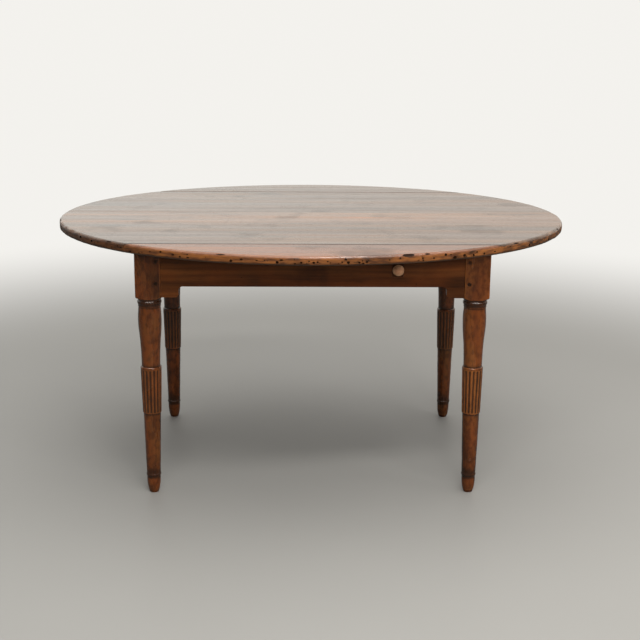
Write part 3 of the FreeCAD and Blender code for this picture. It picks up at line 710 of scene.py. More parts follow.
@dataclass(frozen=True)
class BoardFinish(WoodFinish):
    """The finish of a top board: waxed face, worn dark-spotted rim and dry underside."""

    dull: float = 0.36
    shiny: float = 0.18
    wax: float = 0.74
    wax_streaks: float = 0.4
    gloss: float = 0.5
    rim_colour: Colour = (0.37, 0.135, 0.036)
    # Dark of dirt in the spots and seams, also the painted shade under the rim.
    rim_dirt_and_shade: Colour = (0.030, 0.013, 0.006)
    # Dark of end grain, also the painted shade of the left end.
    end_grain_and_shade: Colour = (0.075, 0.026, 0.009)
    dry_colour: Colour = (0.13, 0.085, 0.055)
    half_length: float = 0.757
    half_width: float = 0.598
    underside: float = 0.734
    thickness: float = 0.026
    seam: float = 0.437
    stains: tuple[Stain, ...] = ()

    def weathered(self, nodes: Nodes, colour: Socket, place: Socket) -> Socket:
        """Add the stains of the face, the dirt of the seams, the worn rim with its painted shade and the
        dry underside.

        Args:
            nodes: Builder of the material's tree.
            colour: Colour of the clean wood.
            place: Place on the table.

        Returns:
            The new colour.
        """
        level = nodes.scaled(place, (1.0, 1.0, 0.0))
        for stain in self.stains:
            spot, reach = (stain.x, stain.y, 0.0), (stain.long, stain.wide, 1.0)
            mask = nodes.effect(Effect.STAIN, Vector=level, Place=spot, Reach=reach)["Mask"]
            colour = nodes.mix(nodes.math("MULTIPLY", mask, stain.strength), colour, stain.colour)
        seams = nodes.math("MULTIPLY", self.seam_dirt(nodes, place), 0.75)
        colour = nodes.mix(seams, colour, self.rim_dirt_and_shade)
        colour = nodes.mix(self.rim(nodes, place), colour, self.rim_wood(nodes, place))
        height = nodes.parts(place)[2]
        below = nodes.span(height, self.underside + 0.0005, self.underside + 0.006, 0.85, 0.0)
        return nodes.mix(below, colour, self.dry_colour)

    def rim_wood(self, nodes: Nodes, place: Socket) -> Socket:
        """Colour the rim: streaked and spotted, darker at the two ends with end grain and at the left end
        also with painted shade, and darker below with dirt and painted shade.

        Args:
            nodes: Builder of the material's tree.
            place: Place on the table.

        Returns:
            The colour of the rim.
        """
        streaks = nodes.noise(nodes.scaled(place, (30.0, 30.0, 160.0)), 1.0, 4.0)
        wood = nodes.mix(nodes.span(streaks, 0.35, 0.7), self.rim_colour, self.dark)
        cover = nodes.span(nodes.noise(place, 5.0, 2.0), 0.42, 0.62, 0.16, 0.42)
        flat = nodes.scaled(place, (1.0, 1.0, 2.2))
        spots = nodes.effect(Effect.DIRT, Vector=flat, Scale=38.0, Cover=cover)["Mask"]
        wood = nodes.mix(nodes.math("MULTIPLY", spots, 0.85), wood, self.rim_dirt_and_shade)
        length, _, height = nodes.parts(place)
        # Darker end grain at both ends, and painted shade at the left end.
        left_end_grain_and_shade = nodes.span(length, -0.66, -0.36, 0.72, 0.0)
        right_end = nodes.span(length, 0.45, 0.70, 0.0, 0.2)
        wood = nodes.mix(nodes.math("ADD", left_end_grain_and_shade, right_end), wood, self.end_grain_and_shade)
        # Darker below, with dirt and painted shade under the rounded edge.
        low = nodes.span(height, self.underside + 0.001, self.underside + 0.009, 0.8, 0.0)
        return nodes.mix(low, wood, self.rim_dirt_and_shade)

    def handled(self, nodes: Nodes, place: Socket) -> Socket | None:
        """Find where no wax is left: on the rim, beside the seams and below the top.

        Args:
            nodes: Builder of the material's tree.
            place: Place on the table.

        Returns:
            0 on the face and 1 or more where the wax is gone.
        """
        height = nodes.parts(place)[2]
        below = nodes.span(height, self.underside + 0.001, self.underside + 0.003, 1.25, 0.0)
        worn = nodes.math("MAXIMUM", self.rim(nodes, place), self.seam_dirt(nodes, place))
        return nodes.math("MAXIMUM", worn, below)

    def seam_dirt(self, nodes: Nodes, place: Socket) -> Socket:
        """Return where dirt fills the seams beside the leaves, with gaps along them.

        Args:
            nodes: Builder of the material's tree.
            place: Place on the table.

        Returns:
            0 on the face and up to 1 in a seam.
        """
        across = nodes.math("ABSOLUTE", nodes.parts(place)[1])
        away = nodes.math("ABSOLUTE", nodes.math("SUBTRACT", across, self.seam))
        filled = nodes.span(nodes.noise(place, 9.0), 0.35, 0.6, 0.45, 1.0)
        return nodes.math("MULTIPLY", nodes.span(away, 0.0025, 0.0055, 1.0, 0.0), filled)

    def rim(self, nodes: Nodes, place: Socket) -> Socket:
        """Return where the rim begins, with an uneven edge.

        Args:
            nodes: Builder of the material's tree.
            place: Place on the table.

        Returns:
            0 on the face and 1 on the rim.
        """
        out = nodes.scaled(place, (1 / self.half_length, 1 / self.half_width, 0.0))
        uneven = nodes.span(nodes.noise(place, 55.0, 4.0), 0.2, 0.8, -0.002, 0.002)
        length, _, height = nodes.parts(place)
        face = self.underside + self.thickness
        # Near the left end the rim reaches closer to the face, taking that end's painted shade up to the
        # edge.
        edge = nodes.span(length, -0.60, -0.36, face - 0.0025, face - 0.0055)
        below = nodes.math("SUBTRACT", edge, nodes.math("ADD", height, uneven))
        on_side = nodes.span(below, -0.0015, 0.0015)
        return nodes.math("MULTIPLY", on_side, nodes.span(nodes.length(out), 0.965, 0.975))


@dataclass(frozen=True)
class LoperFinish(WoodFinish):
    """The finish of a leaf support: stained like the aprons on its outer end, dry inside."""

    end_colour: Colour = (0.075, 0.026, 0.010)
    end_from: float = 0.355

    def weathered(self, nodes: Nodes, colour: Socket, place: Socket) -> Socket:
        """Stain the outer end."""
        depth = nodes.math("ABSOLUTE", nodes.parts(place)[1])
        return nodes.mix(nodes.span(depth, self.end_from, self.end_from + 0.008), colour, self.end_colour)


@dataclass(frozen=True)
class MetalFinish:
    """Old iron or steel with rust and rubbed places."""

    name: str
    bright: Colour
    rust: Colour
    rust_cover: float
    smooth: float

    @functools.cache
    def material(self) -> Material:
        """Build the material the first time it is asked for.

        Returns:
            The material.
        """
        material = bpy.data.materials.new(self.name)
        material.use_nodes = True
        nodes = Nodes(material.node_tree)
        shader = material.node_tree.nodes["Principled BSDF"]
        place = nodes.add("TexCoord").outputs["Object"]
        rust = nodes.effect(Effect.DIRT, Vector=place, Scale=60.0, Cover=self.rust_cover)["Mask"]
        pits = nodes.noise(place, 900.0)
        dark_rust = tuple(part * 0.45 for part in self.rust)
        shade = nodes.mix(nodes.span(pits, 0.3, 0.7), self.rust, dark_rust)
        nodes.feed(shader.inputs["Base Color"], nodes.mix(rust, self.bright, shade))
        nodes.feed(shader.inputs["Metallic"], nodes.span(rust, 0.2, 0.9, 1.0, 0.1))
        nodes.feed(shader.inputs["Roughness"], nodes.span(rust, 0.0, 1.0, self.smooth, 0.85))
        pitted = nodes.math("MULTIPLY", pits, rust)
        bump = nodes.add("Bump", {"Height": pitted, "Strength": 0.6, "Distance": 0.0002})
        nodes.feed(shader.inputs["Normal"], bump.outputs[0])
        return material


@dataclass
class OvalTop:
    """The oval top: four fixed boards and two leaves, cut from one worn slab.

    Each chip of the rim is given by its angle in degrees, its depth and its reach along the rim.
    """

    half_length: float = 0.757
    half_width: float = 0.598
    height: float = 0.760
    thickness: float = 0.026
    upper_round: float = 0.009
    lower_round: float = 0.007
    rim_points: int = 960
    seam: float = 0.437
    seam_gap: float = 0.0016
    seam_arris: float = 0.004
    joint_arris: float = 0.0005
    joints: tuple[float, ...] = (-0.147, 0.050, 0.290)
    seed: int = 7
    worm_holes: int = 170
    chips: tuple[tuple[float, float, float], ...] = (
        (289.2, 0.0056, 0.019),
        (293.4, 0.0034, 0.010),
        (251.0, 0.0030, 0.020),
        (222.0, 0.0032, 0.014),
        (318.0, 0.0030, 0.018),
        (341.0, 0.0028, 0.015),
        (28.0, 0.0034, 0.020),
        (74.0, 0.0030, 0.016),
        (121.0, 0.0034, 0.018),
        (163.0, 0.0028, 0.013),
        (188.0, 0.0034, 0.017),
    )

    def slab(self) -> Piece:
        """Model the whole oval slab with its rounded rim.

        Returns:
            The slab, from which the strips are cut.
        """
        bpy.ops.object.select_all(action="DESELECT")
        bpy.ops.mesh.primitive_circle_add(
            vertices=self.rim_points, radius=1.0, fill_type="NGON", location=(0, 0, self.height)
        )
        slab = bpy.context.active_object
        slab.name = slab.data.name = "slab"
        bench = Bench(slab)
        bpy.ops.transform.resize(value=(self.half_length, self.half_width, 1.0))
        bpy.ops.object.transform_apply(location=True, rotation=True, scale=True)
        bench.open(Kind.FACE)
        bpy.ops.mesh.select_all(action="SELECT")
        bpy.ops.mesh.extrude_region_move(TRANSFORM_OT_translate={"value": (0, 0, -self.thickness)})
        bench.shut()
        bench.close_mesh()
        bench.open(Kind.EDGE)
        underside = self.height - self.thickness
        for level, rounding, rows in ((self.height, self.upper_round, 6), (underside, self.lower_round, 5)):
            bench.pick_edges(lambda middle, direction: abs(middle.z - level) < FLAT_REACH)
            bpy.ops.mesh.bevel(
                offset=rounding, offset_type="OFFSET", segments=rows, profile=0.5, affect="EDGES"
            )
        wall = self.thickness - self.upper_round - self.lower_round
        bench.pick_edges(lambda middle, direction: abs(abs(direction.z) - wall) < 1e-5)
        bpy.ops.mesh.subdivide(number_cuts=3)
        bench.shut()
        return slab

    def strip(self, slab: Piece, name: str, low: float, high: float) -> Piece:
        """Cut one strip out of the slab and ease its upper arrises.

        Args:
            slab: The whole slab.
            name: Name of the strip.
            low: Its lower edge along Y; past the rim where it has none.
            high: Its upper edge along Y; past the rim where it has none.

        Returns:
            The strip.
        """
        piece = copy_piece(slab, name)
        bench = Bench(piece)
        bench.open(Kind.EDGE)
        for edge, is_low in ((low, True), (high, False)):
            if abs(edge) > self.half_width:
                continue
            bpy.ops.mesh.select_all(action="SELECT")
            bpy.ops.mesh.bisect(
                plane_co=(0, edge, 0),
                plane_no=(0, 1, 0),
                use_fill=True,
                clear_inner=is_low,
                clear_outer=not is_low,
            )
        for edge, side in ((low, -1), (high, 1)):
            if abs(edge) > self.half_width:
                continue
            on_seam = abs(abs(edge) - self.seam) < 0.01
            arris = self.seam_arris if on_seam else self.joint_arris
            for degrees in (15, 45, 75) if on_seam else (45,):
                self.plane_arris(edge, side, arris, math.radians(degrees))
        bench.pick_edges(lambda middle, direction: abs(direction.x) > 0.2)
        bpy.ops.mesh.subdivide(number_cuts=90)
        bench.shut()
        bench.close_mesh()
        return piece

    def plane_arris(self, edge: float, side: int, arris: float, slope: float) -> None:
        """Plane one facet of a rounded upper arris on the strip in edit mode.

        Args:
            edge: Place of the strip's edge along Y.
            side: 1 if the edge is the strip's upper one along Y, -1 if it is the lower one.
            arris: Radius of the rounding.
            slope: Angle of the facet's normal above the level.
        """
        out = Vector((0, side * math.cos(slope), math.sin(slope)))
        centre = Vector((0, edge - side * arris, self.height - arris))
        bpy.ops.mesh.select_all(action="SELECT")
        bpy.ops.mesh.bisect(plane_co=centre + out * arris, plane_no=out, use_fill=True, clear_outer=True)

    def wear(self, piece: Piece, holes: Piece) -> None:
        """Wear the rim of a strip, chip it and bore its worm holes.

        Args:
            piece: The strip.
            holes: The shapes to cut out of the rim.
        """
        bench = Bench(piece)
        bench.modify(
            "BOOLEAN", operation="DIFFERENCE", object=holes, solver="EXACT", material_mode="TRANSFER"
        )
        bench.close_mesh()
        rim = piece.vertex_groups.new(name="rim")
        for vertex in piece.data.vertices:
            x, y, z = vertex.co
            out = math.hypot(x / self.half_length, y / self.half_width)
            between_faces = self.height - self.thickness + 1e-5 < z < self.height - 1e-5
            if between_faces and out > 0.985:
                rim.add([vertex.index], 1.0, "REPLACE")
        bench.dent(0.045, 0.0022, "rim")
        bench.dent(0.011, 0.0011, "rim")
        bench.smooth(34)

    def hole_shapes(self) -> list[tuple[float, float, float, float, float]]:
        """Draw the worm holes of the rim and add its chips.

        Returns:
            Angle, height, size, reach along the rim and sunk share of each.
        """
        chance = random.Random(self.seed)
        underside = self.height - self.thickness
        shapes = []
        for turn in range(self.worm_holes):
            angle = chance.uniform(0, 2 * math.pi) if turn % 3 else math.radians(chance.gauss(262, 26))
            height = chance.uniform(underside + 0.006, self.height - 0.008)
            is_large = turn % 5 < 2
            size = chance.uniform(0.0024, 0.0038) if is_large else chance.uniform(0.0010, 0.0022)
            reach = size * chance.choice((1.0, 1.2, 1.5) if is_large else (1.0, 1.3, 2.0, 2.8))
            shapes.append((angle, height, size, reach, chance.uniform(0.2, 0.7)))
        for degrees, depth, reach in self.chips:
            shapes.append((math.radians(degrees), self.height - 0.0015, depth, reach, 0.1))
        return shapes

    def holes(self, inside: Material) -> Piece:
        """Model the worm holes and chips of the rim as one set of cutting shapes.

        Args:
            inside: Material of the bored faces.

        Returns:
            The cutting shapes, joined.
        """
        made: list[Piece] = []
        taken: list[tuple[Vector, float]] = []
        for angle, height, size, reach, sunk in reversed(self.hole_shapes()):
            x, y = self.half_length * math.cos(angle), self.half_width * math.sin(angle)
            spot = Vector((x, y, height))
            if any((spot - other).length < (reach + far) * 1.15 for other, far in taken):
                continue
            taken.append((spot, reach))
            out = Vector((x / self.half_length**2, y / self.half_width**2, 0)).normalized()
            along = Vector((-out.y, out.x, 0))
            columns = Matrix((along * reach, out * size * 1.4, Vector((0, 0, size)))).transposed().to_4x4()
            columns.translation = spot - out * size * sunk
            bpy.ops.object.select_all(action="DESELECT")
            bpy.ops.mesh.primitive_ico_sphere_add(subdivisions=2, radius=1.0)
            shape = bpy.context.active_object
            shape.data.transform(columns)
            made.append(shape)
        bench = Bench(made[0])
        for shape in made:
            shape.select_set(True)
        bpy.ops.object.join()
        holes = bench.piece
        holes.name = holes.data.name = "rim_holes"
        holes.data.materials.append(inside)
        bench.close_mesh()
        return holes

    def build(self) -> None:
        """Model every strip, let it ride on its body and put it in place of its solid."""
        slab = self.slab()
        holes = self.holes(HOLE_SHADE_WOOD.material())
        half = self.seam_gap / 2
        edges = (-self.seam + half, *self.joints, self.seam - half)
        past = self.half_width * 2
        boards = ("top_board_front", "top_board_centre_front", "top_board_centre_back", "top_board_back")
        strips = [(name, "frame", low, high) for name, low, high in zip(boards, edges, edges[1:])]
        strips.append(("front_leaf", "front_leaf", -past, -self.seam - half))
        strips.append(("back_leaf", "back_leaf", self.seam + half, past))
        for name, body, low, high in strips:
            piece = self.strip(slab, f"{name}_worn", low, high)
            piece.data.materials.append(BOARD_FINISHES[name].material())
            self.wear(piece, holes)
            seat(piece, body, name)
        for tool in (slab, holes):
            bpy.data.objects.remove(tool)


@dataclass
class TurnedLegs:
    """Four turned legs with square blocks and fluted drums.

    Each band of the turning is given by its two heights and by how much darker it is at each: dirt
    and painted shade at the foot, the ring and the bead, painted shade in the grooves beside the bead
    and under the drum's lip. Below 0 it is lighter from rubbing.
    """

    half_x: float = 0.461
    half_y: float = 0.3365
    block: float = 0.072
    corner_round: float = 0.0022
    steps: int = 256
    flutes: int = 16
    flute_radius: float = 0.005
    flute_depth: float = 0.00175
    flute_stop: float = 0.373
    drum_low: Station = (0.0268, 0.2456)
    drum_high: Station = (0.0299, 0.3790)
    groove: Station = (0.0330, 0.5860)
    bands: tuple[tuple[float, float, float, float], ...] = (
        (-0.001, 0.007, 1.2, 0.35),
        (0.007, 0.036, -0.15, 0.05),
        (0.036, 0.047, 0.1, 0.6),
        (0.047, 0.061, 1.3, 1.2),
        (0.061, 0.120, 0.7, 0.0),
        (0.375, 0.3845, 0.35, 0.35),
        (0.5605, 0.5675, 0.9, 0.9),
        (0.5675, 0.5803, 1.1, 1.1),
        (0.5803, 0.5865, 1.1, 1.1),
    )
    underside: float = 0.734

    def stations(self) -> list[Station]:
        """List the rings of the turning from the foot up.

        Returns:
            Radius and height of each ring, in metres.
        """
        swing = self.block * math.sqrt(0.5)
        foot, ankle, ring = (0.0130, 0.0), (0.0160, 0.0090), (0.0196, 0.0510)
        taper_low, taper_top = (0.0203, 0.0600), (0.0250, 0.2456)
        lip, waist = (0.0282, 0.3847), (0.0266, 0.3847)
        slope_low, slope_high, neck = (0.0276, 0.4300), (0.0320, 0.4900), (0.0311, 0.5610)
        fillet, bead = (0.0324, 0.5610), (0.0324, 0.5680)
        bead_top, pommel = (0.0324, 0.5800), (swing, 0.5970)
        sole, drum_step = (0.0118, 0.0), (0.0255, 0.2456)
        flute_end = (0.02976, self.flute_stop)
        waist_step, neck_step = (0.0274, 0.3847), (0.0318, 0.5610)
        points = [sole, foot]
        points += run(foot, ankle, 4)
        points += arc(ankle, ring, 0.160, 1, 10)
        points += arc(ring, taper_low, 0.0068, 1, 10)
        points += run(taper_low, taper_top, 26)
        points += [drum_step, self.drum_low]
        points += run(self.drum_low, flute_end, 30)
        points += run(flute_end, self.drum_high, 12)
        points += arc(self.drum_high, lip, 0.006, 1, 8)
        points += [waist_step, waist]
        points += arc(waist, slope_low, 1.5, -1, 8)
        points += sweep_between(slope_low, slope_high, (0.037, 0.0905), 12)
        points += arc(slope_high, neck, 0.345, 1, 14)
        points += [neck_step, fillet]
        points += run(fillet, bead, 4)
        points += arc(bead, bead_top, 0.0093, 1, 14)
        points += run(bead_top, self.groove, 4)
        points += arc(self.groove, pommel, 0.018, 1, 18)
        points += run(pommel, (swing, self.underside), 16)
        return points

    def shape(self, piece: Piece) -> None:
        """Square the block of a turned leg, hollow the flutes of its drum, and mark where it is darker from
        dirt and painted shade and lighter from rubbing and painted highlight.

        Args:
            piece: The plain turning, on the Z axis.
        """
        pitch = 2 * math.pi / self.flutes
        carved = np.zeros(len(piece.data.vertices), dtype=np.float32)
        for vertex in piece.data.vertices:
            radius, height = math.hypot(vertex.co.x, vertex.co.y), vertex.co.z
            if radius < 0.01:
                continue
            angle = math.atan2(vertex.co.y, vertex.co.x)
            new_radius = radius
            if height > self.groove[1]:
                new_radius = min(radius, self.square_radius(angle))
            elif self.drum_low[1] <= height < self.drum_high[1] and radius > 0.0262:
                aside = (angle + pitch / 2) % pitch - pitch / 2
                new_radius = min(radius, self.flute_floor(radius, height, aside))
                # Flute floors are painted darker and the ridges lighter: painted shade and painted
                # highlight.
                if height < self.flute_stop + self.flute_radius:
                    carved[vertex.index] = (radius - new_radius) / self.flute_depth * 1.5 - 0.65
            else:
                # Bands darker from dirt and painted shade, lighter from rubbing.
                carved[vertex.index] = self.dirt_shade_and_rub_at(height)
            vertex.co.x *= new_radius / radius
            vertex.co.y *= new_radius / radius
        attribute = piece.data.attributes.new("carved", "FLOAT", "POINT")
        attribute.data.foreach_set("value", carved)

    def dirt_shade_and_rub_at(self, height: float) -> float:
        """Return dirt and painted shade (above 0) and rubbing (below 0) of the turning at a height."""
        for low, high, from_low, to_high in self.bands:
            if low < height < high:
                return from_low + (to_high - from_low) * (height - low) / (high - low)
        return 0.0

    def square_radius(self, angle: float) -> float:
        """Return how far the square block reaches at an angle, with its corners rounded."""
        half, rounding = self.block / 2, self.corner_round
        folded = abs((angle + math.pi / 4) % (math.pi / 2) - math.pi / 4)
        flat = half / math.cos(folded)
        centre = (half - rounding) * math.sqrt(2)
        aside = math.pi / 4 - folded
        sine = centre * math.sin(aside)
        if flat * math.sin(folded) <= half - rounding or sine > rounding:
            return flat
        return centre * math.cos(aside) + math.sqrt(rounding * rounding - sine * sine)

    def flute_floor(self, radius: float, height: float, aside: float) -> float:
        """Return how far the wood reaches beside a flute's middle line.

        Args:
            radius: Radius of the drum there.
            height: Height of the place.
            aside: Angle from the flute's middle line.

        Returns:
            The radius of the flute's floor, or the drum's own where there is no flute.
        """
        over = height - self.flute_stop
        if over >= self.flute_radius:
            return radius
        tool = math.sqrt(self.flute_radius**2 - max(0.0, over) ** 2)
        middle = radius + self.flute_radius - self.flute_depth
        sine = middle * math.sin(aside)
        if abs(sine) >= tool:
            return radius
        return middle * math.cos(aside) - math.sqrt(tool * tool - sine * sine)

    def build(self) -> None:
        """Turn one leg, copy it to the four corners and wear each copy in its own way."""
        pattern = turn_on_lathe("leg_pattern", self.stations(), self.steps)
        self.shape(pattern)
        for depth, end in ((-1, "front"), (1, "back")):
            for side, hand in ((-1, "left"), (1, "right")):
                node = f"{end}_{hand}_leg"
                piece = copy_piece(pattern, f"{node}_turned")
                piece.data.transform(Matrix.Translation((self.half_x * side, self.half_y * depth, 0)))
                bench = Bench(piece)
                bench.open(Kind.FACE)
                bpy.ops.mesh.select_all(action="SELECT")
                bpy.ops.mesh.vertices_smooth(factor=0.35, repeat=1)
                bench.shut()
                bench.dent(0.05, 0.0009)
                bench.dent(0.010, 0.0004)
                mark_hollows(piece, 8, 0.0004)
                bench.smooth(50)
                piece.data.materials.append(LEG_FINISHES[node].material())
                seat(piece, "frame", node)
        bpy.data.objects.remove(pattern)


@dataclass
class Joinery:
    """Flat-sided pieces whose solids are copied and get eased edges: aprons, pegs and inner pieces."""

    flat_angle: float = 0.01

    def ease(
        self, node: str, easing: float, rows: int, finishes: tuple[WoodFinish, ...]
    ) -> None:
        """Copy a solid, ease its sharp edges and put it in the solid's place.

        Args:
            node: Name of the solid.
            easing: Width of the eased edges, in metres.
            rows: Number of faces across an eased edge.
            finishes: Finish of the faces and, if there are two, of the eased edges.
        """
        solid = bpy.data.objects[node]
        piece = bpy.data.objects.new(f"{node}_eased", solid.data.copy())
        bpy.context.scene.collection.objects.link(piece)
        bench = Bench(piece)
        bench.close_mesh()
        bench.open(Kind.EDGE)
        bpy.ops.mesh.select_all(action="SELECT")
        bpy.ops.mesh.dissolve_limited(angle_limit=self.flat_angle)
        bench.shut()
        piece.data.materials.clear()
        for finish in finishes:
            piece.data.materials.append(finish.material())
        bench.modify(
            "BEVEL",
            width=easing,
            segments=rows,
            limit_method="ANGLE",
            angle_limit=math.radians(40),
            material=len(finishes) - 1,
            use_clamp_overlap=True,
        )
        bench.smooth(34)
        seat(piece, "frame", node)

    def build(self) -> None:
        """Ease the aprons, the pegs and the pieces under the top."""
        for side in ("front", "back", "left", "right"):
            is_long = side in ("front", "back")
            face, edge = (APRON_LONG, APRON_LONG_EDGE) if is_long else (APRON_END, APRON_END_EDGE)
            self.ease(f"{side}_apron", 0.0016, 3, (face, edge))
        for leg in LEG_FINISHES:
            self.ease(leg.replace("_leg", "_pegs"), 0.0007, 2, (PEG_WOOD,))
        for node in ("left_batten", "right_batten"):
            self.ease(node, 0.0015, 2, (INNER_ALONG_Y,))
        for node in ("front_loper", "back_loper"):
            self.ease(node, 0.0010, 2, (LOPER_WOOD,))
        for node in ("loper_rail", "long_apron_blocks", "front_loper_stop", "back_loper_stop"):
            self.ease(node, 0.0012, 2, (INNER_ALONG_X,))
        self.ease("end_apron_blocks", 0.0012, 2, (INNER_ALONG_Y,))
        tongues = bpy.data.objects["top_board_tongues"]
        tongues.data.materials.clear()
        tongues.data.materials.append(INNER_ALONG_X.material())


@dataclass
class Knobs:
    """The turned knobs of the two leaf supports."""

    place_x: float = 0.237
    place_y: float = 0.370
    place_z: float = 0.676
    steps: int = 64

    def stations(self) -> list[Station]:
        """List the rings of a knob from its spigot to its dome.

        Returns:
            Radius and distance from the loper's end, in metres.
        """
        collar, neck, widest = (0.0105, 0.0025), (0.0075, 0.0060), (0.0163, 0.0160)
        collar_top, dome_top = (0.0100, 0.0031), (0.0007, 0.0270)
        rise = 0.0110
        dome = (widest[0] ** 2 + rise**2) / (rise * 2)
        points = [(0.006, -0.0195), (0.006, 0.0003), (0.0102, 0.0003), (0.0105, 0.0008)]
        points += run(points[-1], collar, 2)
        points += [collar_top] + arc(collar_top, neck, 0.006, -1, 5)
        points += arc(neck, widest, 0.016, 1, 10) + arc(widest, dome_top, dome, 1, 14)
        return points

    def build(self) -> None:
        """Turn a knob, copy it for the other leaf and set both on their supports."""
        pattern = turn_on_lathe("knob_pattern", self.stations(), self.steps)
        for side, end in ((1, "front"), (-1, "back")):
            piece = copy_piece(pattern, f"{end}_loper_knob_turned")
            lay = Matrix.Rotation(math.radians(90 * side), 4, "X")
            spot = Matrix.Translation((self.place_x * side, -self.place_y * side, self.place_z))
            piece.data.transform(spot @ lay)
            bench = Bench(piece)
            bench.close_mesh()
            bench.dent(0.012, 0.0004)
            mark_hollows(piece, 10, 0.0005)
            bench.smooth(50)
            piece.data.materials.append(KNOB_PAINTED_LIGHT.material())
            seat(piece, "frame", f"{end}_loper_knob")
        bpy.data.objects.remove(pattern)


@dataclass
class Ironwork:
    """Hinges, pins and screws, which keep their solids."""

    iron: MetalFinish
    steel: MetalFinish

    def build(self) -> None:
        """Give every hinge and screw its finish."""
        for name in bpy.data.objects.keys():
            is_hinge = name.endswith(("_plate", "_pin"))
            if is_hinge or name.endswith("_screws"):
                solid = bpy.data.objects[name]
                solid.data.materials.clear()
                solid.data.materials.append((self.iron if is_hinge else self.steel).material())
                LOG.info("%s: finished", name)


@dataclass(frozen=True)
class Lamp:
    """A soft light, with the width and height of its face in metres.

    A light with glints lights nothing and is mirrored only by the pieces whose names end so.
    """

    name: str
    place: Point
    aim: Point
    face: tuple[float, float]
    watts: float
    is_mirrored: bool = True
    glints: str = ""

    def hang(self) -> None:
        """Hang the light, and limit a glint to its pieces."""
        lamp = bpy.data.lights.new(self.name, "AREA")
        lamp.shape = "RECTANGLE"
        lamp.size, lamp.size_y = self.face
        lamp.energy = self.watts
        lamp.color = LAMP_COLOUR
        holder = bpy.data.objects.new(self.name, lamp)
        holder.location = self.place
        holder.visible_glossy = self.is_mirrored
        holder.rotation_euler = (Vector(self.aim) - Vector(self.place)).to_track_quat("-Z", "Y").to_euler()
        bpy.context.scene.collection.objects.link(holder)
        if not self.glints:
            return
        pieces = bpy.data.collections.new(f"{self.name}_pieces")
        for piece in bpy.context.scene.objects:
            if piece.name.endswith(self.glints):
                pieces.objects.link(piece)
        holder.visible_diffuse = False
        holder.light_linking.receiver_collection = pieces


